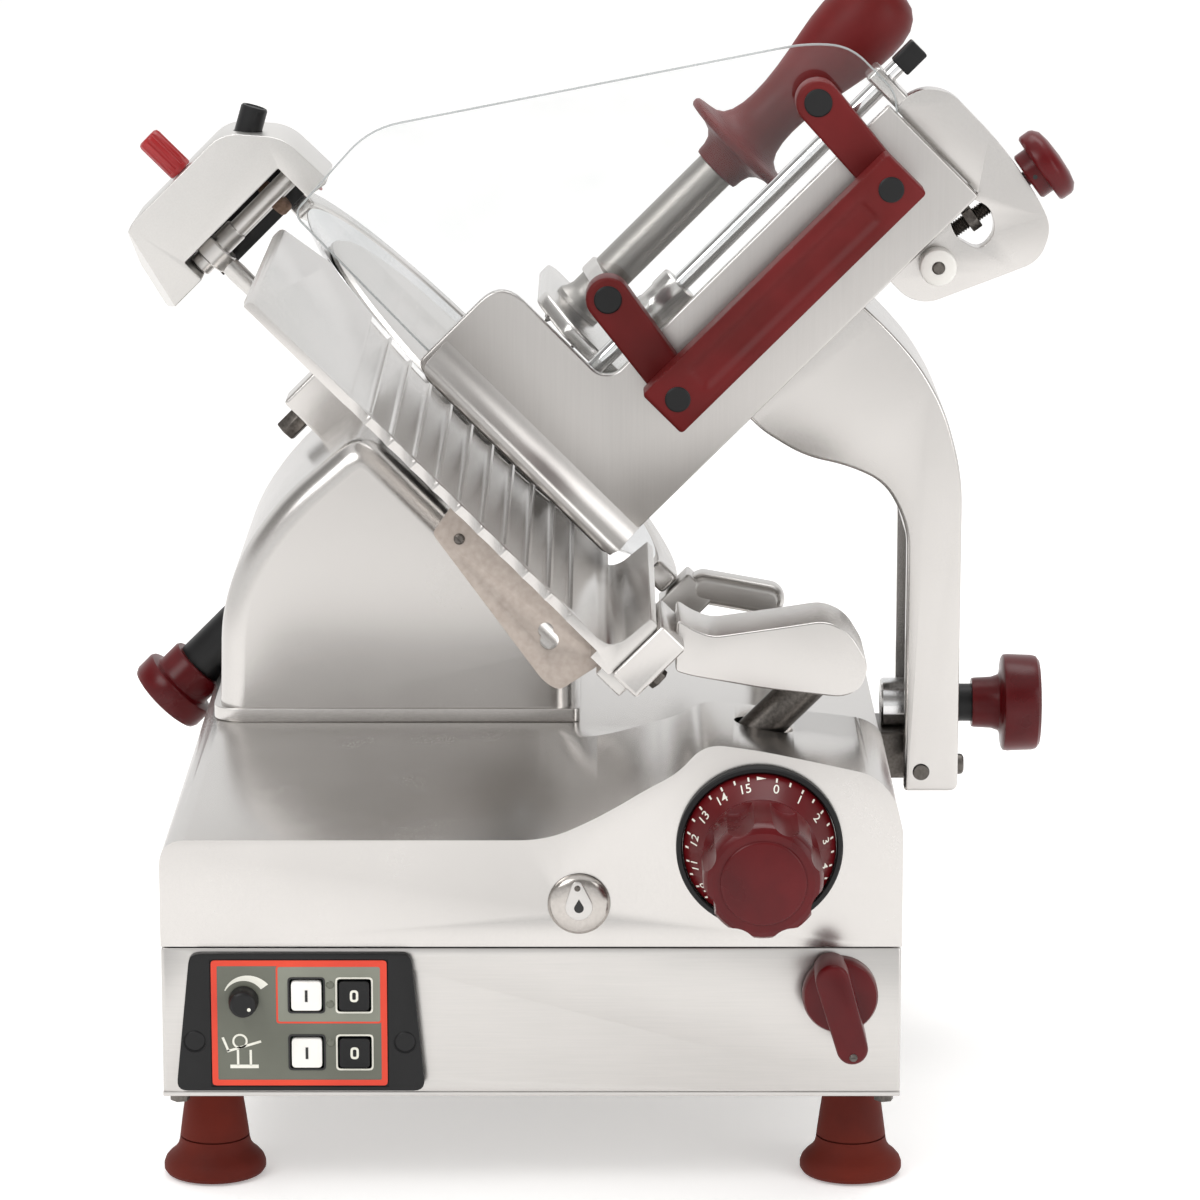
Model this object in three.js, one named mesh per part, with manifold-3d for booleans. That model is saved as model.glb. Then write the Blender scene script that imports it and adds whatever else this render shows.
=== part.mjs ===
// Gravity-feed deli meat slicer, about 620 mm wide, in millimetres, +Z up.
// The operator stands on the -Y side. The food table, the blade and the gauge plate all lean at 45 degrees,
// so most pieces are drawn in a leaning frame: s runs down the slope, Y runs away from the operator and
// n stands square to the blade. Each mesh is one loose piece of the machine.
import * as THREE from 'three';
import { mergeVertices } from 'three/addons/utils/BufferGeometryUtils.js';
import Module from 'manifold-3d';

const wasm = await Module();
wasm.setup();

// ---- Driving dimensions ----
const GAP = 0.3; // running gap between neighbouring pieces

const BASE = { halfWidth: 221, depth: 530, bottom: 62, seam: 155, deck: 221, wall: 6, boxWall: 3 };
const FOOT = { x: 194, front: 45, back: 485, topRadius: 15.5, lipRadius: 31 };

const LEAN = Math.PI / 4;
const PLATE_N = 267; // height of the blade and gauge plane, square to the slope
const BLADE = { s: -320, y: 460, radius: 165 };
const RING = { inner: 168, outer: 186, low: 252, high: 268 };

const HOUSING = { front: 295, back: 525, wall: 5, bossRadius: 46, bossTop: 232 };
const MOTOR = { s: -190, y: 400, radius: 45, low: 10, high: 130, pulleyRadius: 28 };
const DRIVE = { low: 150, high: 172, hubPulley: 36, belt: 2.7 };

const DIAL = { x: 135.5, z: 218, radius: 45.5, front: -85 };
const GAUGE = { near: 25, far: 372, top: -498, low: -190.3, thickness: 11, pitch: 18.5, flute: 3.6 };
const GAUGE_SHAFT = { s: -95, y: 70, radius: 12 };

const TRAY = { front: 262, wall: 8, back: 495, low: 272, high: 600, floor: -205, rim: -286, shoulder: -380 };
const ROD = { s: -294, y: 300, radius: 6 };
const PUSHER = { s: -319, y: 400, tube: 13.5 };

const RAIL = { x: 190, z: 190, radius: 10 };
const ARM = { y0: 290, y1: 405, inner: 239, outer: 274, foot: 175 };
const PIVOT = { x: 250, z: 188, radius: 5 };
const LOCK = { y: 347, z: 221 };

// ---- Materials ----
const finish = (color, roughness, metalness) => () =>
  new THREE.MeshStandardMaterial({ color, roughness, metalness });
const castAluminium = finish(0xc9c7c2, 0.38, 0.9);
const stainless = finish(0xbdbbb6, 0.3, 1.0);
const chrome = finish(0xdadada, 0.12, 1.0);
const darkSteel = finish(0x5a5652, 0.4, 1.0);
const wineRed = finish(0x7c2a2d, 0.42, 0.0);
const signalRed = finish(0xb52a2c, 0.4, 0.0);
const brownRubber = finish(0x6b2419, 0.7, 0.0);
const black = finish(0x1d1d1f, 0.5, 0.0);
const whiteNylon = finish(0xe9e7e2, 0.45, 0.0);
const greenBoard = finish(0x2e6b45, 0.6, 0.0);
const stoneGrit = finish(0x7a6250, 0.95, 0.0);
const clearSheet = () => {
  const sheet = finish(0xf2f5f6, 0.05, 0.0)();
  sheet.transparent = true;
  sheet.opacity = 0.25;
  return sheet;
};

// ---- Solid helpers ----
// Merge shared corners and drop the slivers that collapse on a lathe's axis.
function weld(geometry) {
  geometry.deleteAttribute('normal');
  geometry.deleteAttribute('uv');
  const merged = mergeVertices(geometry, 1e-4);
  const index = [];
  for (let i = 0; i < merged.index.count; i += 3) {
    const [a, b, c] = [0, 1, 2].map((k) => merged.index.getX(i + k));
    if (a !== b && b !== c && c !== a) {
      index.push(a, b, c);
    }
  }
  merged.setIndex(index);
  return merged;
}

function toSolid(geometry) {
  const welded = weld(geometry);
  return new wasm.Manifold(
    new wasm.Mesh({
      numProp: 3,
      vertProperties: new Float32Array(welded.attributes.position.array),
      triVerts: new Uint32Array(welded.index.array),
    }),
  );
}

function toGeometry(solid) {
  const mesh = solid.getMesh();
  const geometry = new THREE.BufferGeometry();
  geometry.setAttribute('position', new THREE.BufferAttribute(mesh.vertProperties, 3));
  geometry.setIndex(new THREE.BufferAttribute(mesh.triVerts, 1));
  geometry.computeVertexNormals();
  return geometry;
}

const cut = (base, ...tools) =>
  toGeometry(tools.reduce((solid, tool) => solid.subtract(toSolid(tool)), toSolid(base)));
const join = (base, ...others) =>
  toGeometry(others.reduce((solid, other) => solid.add(toSolid(other)), toSolid(base)));
const overlapOf = (a, b) => toGeometry(toSolid(a).intersect(toSolid(b)));

const CORNER_SHARE = 0.48; // most of an edge that one rounded corner may take

// A closed outline from [x, y] or [x, y, cornerRadius] points.
function outline(points) {
  const shape = new THREE.Shape();
  const count = points.length;
  points.forEach(([x, y, wanted = 0], i) => {
    const here = new THREE.Vector2(x, y);
    const before = new THREE.Vector2(...points[(i + count - 1) % count].slice(0, 2)).sub(here);
    const after = new THREE.Vector2(...points[(i + 1) % count].slice(0, 2)).sub(here);
    const radius = Math.min(wanted, CORNER_SHARE * before.length(), CORNER_SHARE * after.length());
    const start = here.clone().add(before.setLength(radius));
    const end = here.clone().add(after.setLength(radius));
    if (i === 0) {
      shape.moveTo(start.x, start.y);
    } else {
      shape.lineTo(start.x, start.y);
    }
    if (radius > 0) {
      shape.quadraticCurveTo(here.x, here.y, end.x, end.y);
    }
  });
  shape.closePath();
  return shape;
}

// Push every edge of an outline inwards by a wall thickness.
function inset(points, thickness) {
  const count = points.length;
  const corners = points.map(([x, y]) => new THREE.Vector2(x, y));
  const area = corners.reduce((sum, p, i) => sum + p.cross(corners[(i + 1) % count]), 0);
  const side = Math.sign(area);
  const normals = corners.map((p, i) => {
    const edge = corners[(i + 1) % count].clone().sub(p).normalize();
    return new THREE.Vector2(-edge.y * side, edge.x * side);
  });
  return points.map(([x, y, radius = 0], i) => {
    const a = normals[(i + count - 1) % count];
    const b = normals[i];
    const miter = a.clone().add(b).divideScalar(1 + a.dot(b));
    return [x + miter.x * thickness, y + miter.y * thickness, Math.max(0, radius - thickness)];
  });
}

const CURVE_STEPS = 5;
const BASES = {
  x: [new THREE.Vector3(0, 1, 0), new THREE.Vector3(0, 0, 1), new THREE.Vector3(1, 0, 0)],
  z: [new THREE.Vector3(1, 0, 0), new THREE.Vector3(0, 1, 0), new THREE.Vector3(0, 0, 1)],
};

// Extrude a shape along an axis from a to b.
// Shapes read (y, z) along x, (x, z) along y and (x, y) along z.
function extrude(shape, axis, a, b, curveSegments = CURVE_STEPS) {
  const geometry = new THREE.ExtrudeGeometry(shape, { depth: b - a, bevelEnabled: false, curveSegments });
  if (axis === 'y') {
    return geometry.rotateX(Math.PI / 2).translate(0, b, 0);
  }
  geometry.applyMatrix4(new THREE.Matrix4().makeBasis(...BASES[axis]));
  return axis === 'x' ? geometry.translate(a, 0, 0) : geometry.translate(0, 0, a);
}

const prism = (points, axis, a, b) => extrude(outline(points), axis, a, b);

function box(x0, x1, y0, y1, z0, z1) {
  const geometry = new THREE.BoxGeometry(x1 - x0, y1 - y0, z1 - z0);
  return geometry.translate((x0 + x1) / 2, (y0 + y1) / 2, (z0 + z1) / 2);
}

// Turn a profile of [radius, height] points about an axis through (u, v).
function turned(profile, axis, u, v, segments = 20) {
  const points = profile.map(([r, h]) => new THREE.Vector2(r, h));
  const geometry = new THREE.LatheGeometry(points, segments);
  if (axis === 'x') {
    return geometry.rotateZ(-Math.PI / 2).translate(0, u, v);
  }
  if (axis === 'y') {
    return geometry.translate(u, 0, v);
  }
  return geometry.rotateX(Math.PI / 2).translate(u, v, 0);
}

const bar = (axis, radius, a, b, u, v, segments = 20) =>
  turned([[0, a], [radius, a], [radius, b], [0, b]], axis, u, v, segments);
const tube = (axis, inner, outer, a, b, u, v, segments = 20) =>
  turned([[inner, a], [outer, a], [outer, b], [inner, b], [inner, a]], axis, u, v, segments);

// The straight-sided loop round two circles, as a belt or a link plate runs.
function loopPoints(x1, y1, r1, x2, y2, r2, steps = 12) {
  const along = Math.atan2(y2 - y1, x2 - x1);
  const spread = Math.acos((r1 - r2) / Math.hypot(x2 - x1, y2 - y1));
  const arc = (x, y, r, from, to) =>
    Array.from({ length: steps + 1 }, (_, i) => {
      const angle = from + ((to - from) * i) / steps;
      return [x + r * Math.cos(angle), y + r * Math.sin(angle)];
    });
  return [
    ...arc(x1, y1, r1, along + spread, along - spread + 2 * Math.PI),
    ...arc(x2, y2, r2, along - spread, along + spread),
  ];
}

// ---- The object's scene graph ----
const machine = new THREE.Group();
const level = new THREE.Group();
const slope = new THREE.Group();
slope.rotation.y = LEAN;
machine.add(level, slope);

function add(group, name, geometry, material) {
  const mesh = new THREE.Mesh(weld(geometry), material());
  mesh.geometry.computeVertexNormals();
  mesh.name = name;
  group.add(mesh);
  return mesh;
}

// A piece drawn in the leaning frame, brought into the level frame for cutting.
const lean = (geometry) => geometry.rotateY(LEAN);

// ---- Base ----
const deckProfile = [
  [-221, 155.3], [-221, 221, 14], [12, 221, 24], [44, 238, 16], [70, 253, 12], [87, 262, 9],
  [101, 280, 12], [134, 276, 20], [167, 269, 20], [203, 261, 14], [216, 247, 8], [221, 226, 4], [221, 155.3],
];
const deckSide = [
  [0, 150], [0, 290], [105, 290, 20], [225, 221, 40], [530, 221], [530, 150],
];

function baseCasting() {
  const inner = inset(deckProfile, BASE.wall);
  inner[0][1] = 140;
  inner[inner.length - 1][1] = 140;
  const outside = overlapOf(prism(deckProfile, 'y', 0, BASE.depth), prism(deckSide, 'x', -230, 230));
  const sideInside = [
    [6, 130], [6, 284], [102, 284, 18], [222, 215, 38], [524, 215], [524, 130],
  ];
  const inside = overlapOf(prism(inner, 'y', 6, 524), prism(sideInside, 'x', -230, 230));
  return cut(
    outside,
    inside,
    box(-190, 10, 305, 515, 205, 230), // motor and belt pass up through the deck
    box(210, 225, 25, 478, 168, 212), // slot that the carriage trolley runs in
    bar('y', 7, -5, 12, DIAL.x, DIAL.z),
    bar('y', 8.5, -5, 12, 28.5, 182),
    lean(bar('z', GAUGE_SHAFT.radius + 0.6, 200, 330, GAUGE_SHAFT.s, GAUGE_SHAFT.y)),
    lean(bar('z', 22, -60, 60, BLADE.s, BLADE.y)), // relief for the tie-rod knob
  );
}

function baseBox() {
  const w = BASE.halfWidth;
  const shell = cut(
    box(-w, w, 0, BASE.depth, BASE.bottom, BASE.seam),
    box(-w + 3, w - 3, 3, BASE.depth - 3, 40, 180),
  );
  return cut(
    shell,
    box(-186, -90, -5, 6, 74, 146), // window behind the control panel
    bar('y', 7, -5, 8, 184, 128),
    box(-172, -128, 520, 540, 98, 122), // power inlet
  );
}

function foot(name, x, y) {
  const profile = [
    [0, 0], [29, 0], [FOOT.lipRadius, 2], [31, 7], [28, 12], [23, 17], [21, 24],
    [18, 42], [FOOT.topRadius, 58], [FOOT.topRadius, 61.7], [0, 61.7],
  ];
  add(level, name, turned(profile, 'z', x, y, 20), brownRubber);
}

function base() {
  add(level, 'base_casting', baseCasting(), castAluminium);
  add(level, 'base_box', baseBox(), stainless);
  const inner = BASE.halfWidth - BASE.boxWall - GAP;
  add(level, 'bottom_plate', box(-inner, inner, 3.3, 526.7, 62, 64.5), stainless);
  foot('foot_front_left', -FOOT.x, FOOT.front);
  foot('foot_front_right', FOOT.x, FOOT.front);
  foot('foot_back_left', -FOOT.x, FOOT.back);
  foot('foot_back_right', FOOT.x, FOOT.back);
  const inlet = join(box(-177, -123, 530.3, 533, 94, 126), box(-171.6, -128.4, 505, 531, 98.4, 121.6));
  add(level, 'power_inlet', cut(inlet, box(-165, -135, 515, 540, 102, 118)), black);
  add(level, 'oil_cup', cut(
    join(bar('y', 18.5, -6, -0.3, 28.5, 182, 32), bar('y', 8, -1, 14, 28.5, 182)),
    bar('y', 5, -10, 20, 28.5, 182, 16),
  ), darkSteel);
  const lid = loopPoints(28.5, 182, 8, 27.5, 194, 3.5, 8);
  add(level, 'oil_cover', prism(lid, 'y', -8, -6.3), stainless);
}

// ---- Controls on the front ----
const BUTTON_X = { start: -134, stop: -105.5 };
const BUTTON_Z = { blade: 127, feed: 91.5 };
const SPEED = { x: -171.4, z: 124 };

function controls() {
  const panel = prism([[-203, 152, 6], [-72, 152, 6], [-64, 68, 7], [-212, 68, 7]], 'y', -6.3, -0.3);
  const holes = [];
  for (const [column, x] of Object.entries(BUTTON_X)) {
    for (const [row, z] of Object.entries(BUTTON_Z)) {
      holes.push(box(x - 10, x + 10, -10, 2, z - 10, z + 10));
      const cap = box(x - 9.6, x + 9.6, -8, 0.5, z - 9.6, z + 9.6);
      const flange = box(x - 11.5, x + 11.5, 0, 1.5, z - 11.5, z + 11.5);
      add(level, `${column}_${row}_button`, join(cap, flange), column === 'start' ? whiteNylon : black);
    }
  }
  holes.push(bar('y', 3.4, -10, 2, SPEED.x, SPEED.z, 16));
  add(level, 'control_panel', cut(panel, ...holes), black);
  const knob = join(bar('y', 9, -17, -6.6, SPEED.x, SPEED.z), bar('y', 3, -8, 9, SPEED.x, SPEED.z, 16));
  add(level, 'speed_knob', knob, black);
  add(level, 'control_board', box(-196, -84, 12, 14, 72, 148), greenBoard);
}

function strokeLever() {
  const body = bar('y', 22.5, -15, -1.5, 184, 128, 32);
  const pointer = prism(loopPoints(178, 145, 8.5, 192, 92, 6.5, 8), 'y', -34, -3);
  const stem = bar('y', 6, -2, 14, 184, 128);
  add(level, 'stroke_lever', join(body, pointer, stem), wineRed);
}

// ---- Thickness dial and its spiral cam ----
function dial() {
  add(level, 'dial_bezel', tube('y', 46, 49.5, -7, -0.3, DIAL.x, DIAL.z, 32), black);
  const cone = turned(
    [[0, -30], [36, -30], [37, -26], [DIAL.radius, -8], [DIAL.radius, -1.5], [0, -1.5]],
    'y', DIAL.x, DIAL.z, 32,
  );
  const lobes = Array.from({ length: 48 }, (_, i) => {
    const angle = (i / 48) * 2 * Math.PI;
    const radius = 33.2 + 1.8 * Math.cos(8 * angle);
    return [DIAL.x + radius * Math.cos(angle), DIAL.z + radius * Math.sin(angle)];
  });
  const grip = prism(lobes, 'y', -76, -28);
  const dome = [[0, DIAL.front], [24, DIAL.front], [30, -81], [31, -75], [0, -75]];
  const nose = turned(dome, 'y', DIAL.x, DIAL.z, 32);
  add(level, 'thickness_dial', join(cone, grip, nose), wineRed);
  const cam = Array.from({ length: 36 }, (_, i) => {
    const angle = (i / 36) * 2 * Math.PI;
    const radius = 12 + (14 * i) / 36;
    return [DIAL.x + radius * Math.cos(angle), DIAL.z + radius * Math.sin(angle)];
  });
  add(level, 'dial_shaft', join(bar('y', 6, -1.2, 56, DIAL.x, DIAL.z), prism(cam, 'y', 40, 48)), darkSteel);
}

// ---- Gauge plate, its arm and its sliding shaft ----
function gaugePlate() {
  const { near, far, top, low, thickness, pitch, flute } = GAUGE;
  const bottom = PLATE_N - thickness;
  const waveStart = -418;
  const waves = 10;
  const steps = waves * 4;
  const crest = Array.from({ length: steps + 1 }, (_, i) => {
    const s = waveStart + (i * pitch) / 4;
    return [s, PLATE_N - (flute / 2) * (1 - Math.cos((i / 4) * 2 * Math.PI))];
  });
  const section = [
    [top, bottom, 4], [top, PLATE_N - 4, 3], [top + 6, PLATE_N, 3], ...crest,
    [-212, PLATE_N], [-202, PLATE_N + 3], [-198, PLATE_N + 10], [-196, PLATE_N + 32], [-191, PLATE_N + 32],
    [low, PLATE_N + 24], [low, bottom],
  ];
  const slab = prism(section, 'y', near, far);
  const corner = outline([[top - 5, far - 60], [top + 60, far + 5], [top - 5, far + 5]]);
  return cut(
    slab,
    bar('z', BLADE.radius + 4, 200, 320, BLADE.s, BLADE.y, 48),
    extrude(corner, 'z', 200, 320),
    box(-204, -180, 250, 400, 200, 320),
  );
}

function gauge() {
  add(slope, 'gauge_plate', gaugePlate(), castAluminium);
  const arm = prism([
    [86, 314], [87, 346], [96, 340], [108, 335, 10], [150, 341], [176, 345, 6], [190, 338, 8],
    [202, 318, 7], [197, 303, 6], [186, 298, 6], [141, 303], [96, 311],
  ], 'y', 42, 98);
  const block = lean(box(-189.9, -170, 20, 98, 258, 300));
  const bore = lean(bar('z', GAUGE_SHAFT.radius + 0.35, 250, 345.3, GAUGE_SHAFT.s, GAUGE_SHAFT.y));
  add(level, 'gauge_arm', cut(join(arm, block), bore), castAluminium);
  add(slope, 'gauge_shaft', bar('z', GAUGE_SHAFT.radius, 178, 345, GAUGE_SHAFT.s, GAUGE_SHAFT.y), darkSteel);
  const under = PLATE_N - GAUGE.thickness - GAP;
  const sheet = prism([[-325, under], [-321, 239, 3], [-206, 224, 5], [-197, 227, 4], [-192, under]], 'y', 60, 62);
  add(slope, 'slice_deflector', cut(
    sheet, bar('y', 5.5, 50, 70, -225, 240, 16), bar('y', 5, 50, 70, -231, 243, 16),
  ), stainless);
}

// ---- Motor housing with blade drive ----
const housingProfile = [
  [25, 221.3], [25, 276, 8], [-112, 413, 18], [-166, 366, 30], [-192, 330, 20], [-205, 292, 25], [-208, 221.3],
];

function motorHousing() {
  const { front, back, wall, bossRadius, bossTop } = HOUSING;
  const inner = inset(housingProfile, wall);
  inner[0][1] = 200;
  inner[inner.length - 1][1] = 200;
  const shell = cut(prism(housingProfile, 'y', front, back), prism(inner, 'y', front + wall, back - wall));
  const boss = lean(bar('z', bossRadius, 204, bossTop, BLADE.s, BLADE.y, 32));
  const lug = lean(prism([[-408, 166, 3], [-408, 214, 3], [-362, 214], [-362, 166]], 'y', 435, 466));
  return cut(
    join(shell, boss, lug),
    lean(bar('z', 24.3, 190, 260, BLADE.s, BLADE.y, 32)),
    lean(bar('z', 17.2, -60, 120, BLADE.s, BLADE.y)),
  );
}

function bladeDrive() {
  const { s, y } = BLADE;
  add(level, 'motor_housing', motorHousing(), castAluminium);
  add(slope, 'hub_bearing', tube('z', 12.4, 24, 205, 231, s, y, 32), darkSteel);
  const hub = [
    [6.5, 140], [12, 140], [12, DRIVE.low], [DRIVE.hubPulley, DRIVE.low], [DRIVE.hubPulley, DRIVE.high],
    [12, DRIVE.high], [12, 236], [40, 236], [40, 256.2], [20.6, 256.2], [20.6, 259.3], [6.5, 259.3], [6.5, 140],
  ];
  add(slope, 'blade_hub', turned(hub, 'z', s, y, 24), darkSteel);
  const edge = [
    [21, 256.5], [140, 256.5], [163, 263.6], [BLADE.radius, 266.4], [163, 266.7], [141, 259.5],
    [21, 259.5], [21, 256.5],
  ];
  add(slope, 'blade', turned(edge, 'z', s, y, 48), chrome);
  const cover = [[0, 260], [138, 260], [139, 261.5], [136, 266.4], [0, 266.4]];
  add(slope, 'blade_cover', turned(cover, 'z', s, y, 40), stainless);
  const motor = join(
    bar('z', MOTOR.radius, MOTOR.low, MOTOR.high, MOTOR.s, MOTOR.y, 32),
    box(MOTOR.s - 30, MOTOR.s + 30, MOTOR.y + 30, MOTOR.y + 62, 40, 100),
  );
  add(slope, 'blade_motor', motor, darkSteel);
  const rotor = join(
    bar('z', 6, MOTOR.high + GAP, DRIVE.low + 2, MOTOR.s, MOTOR.y),
    bar('z', MOTOR.pulleyRadius, DRIVE.low, DRIVE.high, MOTOR.s, MOTOR.y, 32),
  );
  add(slope, 'motor_pulley', rotor, darkSteel);
  const loop = (extra) => loopPoints(
    MOTOR.s, MOTOR.y, MOTOR.pulleyRadius + extra, s, y, DRIVE.hubPulley + extra, 14,
  );
  const belt = cut(
    prism(loop(GAP + DRIVE.belt), 'z', DRIVE.low + 2, DRIVE.high - 2),
    prism(loop(GAP), 'z', DRIVE.low - 5, DRIVE.high + 5),
  );
  add(slope, 'drive_belt', belt, black);
}

function tieRod() {
  const { s, y } = BLADE;
  const knob = [
    [0, -44], [24, -44], [28, -40], [28, -26], [21, -25], [21, -8], [16.5, -7.5], [16.5, 60], [0, 60],
  ];
  add(slope, 'tie_rod_knob', turned(knob, 'z', s, y, 24), wineRed);
  add(slope, 'tie_rod', bar('z', 5, 60.3, 259.7, s, y), darkSteel);
}

// ---- Ring guard and its stay ----
function ringGuard() {
  const { s, y } = BLADE;
  const start = -0.12;
  const end = Math.PI - 0.26;
  const steps = 36;
  const arc = (radius, from, to) => Array.from({ length: steps + 1 }, (_, i) => {
    const angle = from + ((to - from) * i) / steps;
    return [s + radius * Math.cos(angle), y + radius * Math.sin(angle)];
  });
  const band = [...arc(RING.outer, start, end), ...arc(RING.inner, end, start)];
  add(slope, 'ring_guard', prism(band, 'z', RING.low, RING.high), castAluminium);
  const grip = prism(loopPoints(111, 278, 11, 155, 270, 11, 8), 'y', 434, 456);
  const block = lean(box(-133.6, -108, 434, 462, 246, 276));
  const post = bar('z', 8, 225.3, 268, 153, 445);
  add(level, 'ring_stay', join(grip, block, post), stainless);
}

// ---- Sharpener above the blade's top edge ----
const STONE_AXLE = { s: -506, y: 480 };
const SHARPENER_BUTTON = { x: -193, y: 450, z: 587, tilt: 0.28 };

function tiltedBar(radius, a, b, segments = 20) {
  const { x, y, z, tilt } = SHARPENER_BUTTON;
  return bar('z', radius, a, b, 0, 0, segments).rotateY(tilt).translate(x, y, z);
}

function sharpener() {
  const body = prism([
    [-564, 268, 6], [-564, 178, 6], [-532, 150, 3], [-505, 147, 3], [-505, 189], [-521, 189],
    [-521, 278], [-494, 278], [-491, 296, 3], [-533, 295, 4],
  ], 'y', 425, 500);
  const axle = bar('z', 4, 185, 282, STONE_AXLE.s, STONE_AXLE.y, 16);
  add(level, 'sharpener_housing', cut(
    lean(join(body, axle)),
    lean(bar('z', 14.6, 196, 214, -511, 450)),
    tiltedBar(9.5, -16, 20),
    lean(bar('x', 4.5, -570, -552, 450, 228, 16)),
  ), castAluminium);
  add(level, 'sharpener_button', tiltedBar(9, -9, 17), black);
  add(slope, 'sharpener_knob', join(
    bar('x', 8.5, -596, -564.4, 450, 228), bar('x', 4, -565, -554, 450, 228, 16),
  ), signalRed);
  const spindle = [[0, 189.3], [8, 189.3], [8, 226], [6, 227], [6, 277.7], [0, 277.7]];
  add(slope, 'sharpener_spindle', turned(spindle, 'z', -511, 450), stainless);
  const eye = join(bar('z', 14, 198, 212, -511, 450), bar('x', 7, -503, -408.3, 450, 205));
  add(slope, 'sharpener_arm', cut(eye, bar('z', 8.4, 190, 220, -511, 450)), stainless);
  add(slope, 'grinding_stone', tube('z', 4.3, 13, 194, 205, STONE_AXLE.s, STONE_AXLE.y), stoneGrit);
  add(slope, 'honing_stone', tube('z', 4.3, 13, 250, 259, STONE_AXLE.s, STONE_AXLE.y), stoneGrit);
}

// ---- Carriage ----
function trolley() {
  add(level, 'carriage_rail', bar('y', RAIL.radius, 6.4, 523.6, RAIL.x, RAIL.z), chrome);
  const block = box(168, 210, 305, 400, 170, 210);
  const neck = box(205, 258, 320, 375, 176, 207);
  const hub = bar('x', 16.5, 226, 250, LOCK.y, LOCK.z, 28);
  add(level, 'trolley', cut(
    join(block, neck, hub),
    bar('y', RAIL.radius + 0.4, 280, 420, RAIL.x, RAIL.z),
    bar('y', PIVOT.radius + 0.3, 280, 420, PIVOT.x, PIVOT.z),
  ), darkSteel);
  add(level, 'pivot_pin', bar('y', PIVOT.radius, ARM.y0 - 2, ARM.y1 + 2, PIVOT.x, PIVOT.z), darkSteel);
}

function carriageArm() {
  const { inner, outer, foot: low, y0, y1 } = ARM;
  const side = prism([
    [inner, low, 3], [outer, low, 4], [outer, 385, 30], [262, 428, 20], [246, 456, 14], [228, 477, 8],
    [207.5, 496.8], [134.5, 423.8], [146, 413, 6], [172, 397, 14], [200, 391, 14], [224, 380, 14], [inner, 352, 16],
  ], 'y', y0, y1);
  return cut(
    side,
    box(225, 266, 300, 395, 160, 345),
    bar('x', 6, 250, 290, LOCK.y, LOCK.z),
    bar('y', PIVOT.radius + 0.4, 280, 420, PIVOT.x, PIVOT.z),
  );
}

function lockKnob() {
  const profile = [
    [0, 252], [5.5, 252], [5.5, 274.3], [12.5, 274.4], [12.5, 286], [16, 286], [17, 300], [20, 305],
    [31, 306], [32, 309], [31, 328], [27, 331], [0, 331],
  ];
  add(level, 'lock_knob', turned(profile, 'x', LOCK.y, LOCK.z, 24), wineRed);
}

function productTray() {
  const { front, wall, back, low, high, floor, rim, shoulder } = TRAY;
  const face = prism([
    [shoulder, low + 4, 4], [shoulder, low + 78, 14], [rim - 8, low + 78, 5], [rim, low + 86, 3],
    [rim, high, 2], [floor, high, 2], [floor, low, 6], [shoulder + 8, low, 4],
  ], 'y', front, front + wall);
  const floorSlab = box(floor - wall, floor, front, back, low, high);
  const backLip = box(floor - 40, floor, back - wall, back, low, high);
  const curl = box(shoulder + 8, floor - 3, front - 12, front + 1, low, low + 8);
  const boss = box(ROD.s - 10, ROD.s + 10, front + 1, ROD.y + 10, low + 48, low + 66);
  return join(face, floorSlab, backLip, curl, boss);
}

function clearGuard() {
  const y0 = TRAY.front + TRAY.wall + GAP;
  return prism([
    [-391, 283], [-502, 285, 4], [-506, 358, 12], [-350, 590, 8], [-329, 609, 12], [-288, 609, 4],
    [-270, 594], [-270, 342], [-372, 342], [-372, 283],
  ], 'y', y0, y0 + 4.5);
}

function carriageHandle() {
  const back = TRAY.front - GAP;
  const armLow = prism(loopPoints(-326, 391, 14, -256, 381, 12, 8), 'y', 238, back);
  const armHigh = prism(loopPoints(-321, 571, 14, -255, 566, 12, 8), 'y', 238, back);
  const padLow = bar('y', 10, back - 1, back + 8, -326, 391);
  const padHigh = bar('y', 10, back - 1, back + 8, -321, 571);
  const grip = prism([[-272, 367, 4], [-237, 367, 4], [-237, 581, 4], [-272, 581, 4]], 'y', 206, 232);
  const footLow = box(-270, -239, 231, back, 369, 396);
  const footHigh = box(-270, -239, 231, back, 552, 579);
  return join(armLow, armHigh, padLow, padHigh, grip, footLow, footHigh);
}

// ---- Bracket, roller and knob on the tray's far right end ----
const END_KNOB = { x: 309, z: 576, y: 284, angle: 0.626 };

const endTurned = (profile, segments) => {
  const { x, y, z, angle } = END_KNOB;
  return turned(profile, 'x', 0, 0, segments).rotateY(-angle).translate(x, y, z);
};

function endBracket() {
  const { floor, high } = TRAY;
  const plate = prism([
    [222, 606], [230, 628, 8], [245, 636, 8], [262, 633, 8], [296, 598, 10], [318, 566, 12], [327, 548, 10],
    [320, 526, 12], [300, 518, 10], [250, 499, 8], [236, 502, 5], [224, 514],
  ], 'y', 276, 292);
  const lug = lean(box(ROD.s - 12, -262, 276, 312, high + 0.8, high + 12));
  return cut(
    join(plate, lug),
    lean(box(-420, floor + GAP, 260, 330, 400, high + 0.4)),
    prism([[276, 566], [288, 560, 4], [292, 544, 6], [282, 532, 6], [266, 541, 6], [262, 552]], 'y', 260, 330),
    endTurned([[0, -80], [5.5, -80], [5.5, 20], [0, 20]], 16),
    lean(bar('z', ROD.radius + 0.4, 590, 620, ROD.s, ROD.y)),
    bar('y', 4.4, 260, 330, 254.5, 524, 16),
  );
}

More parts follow.
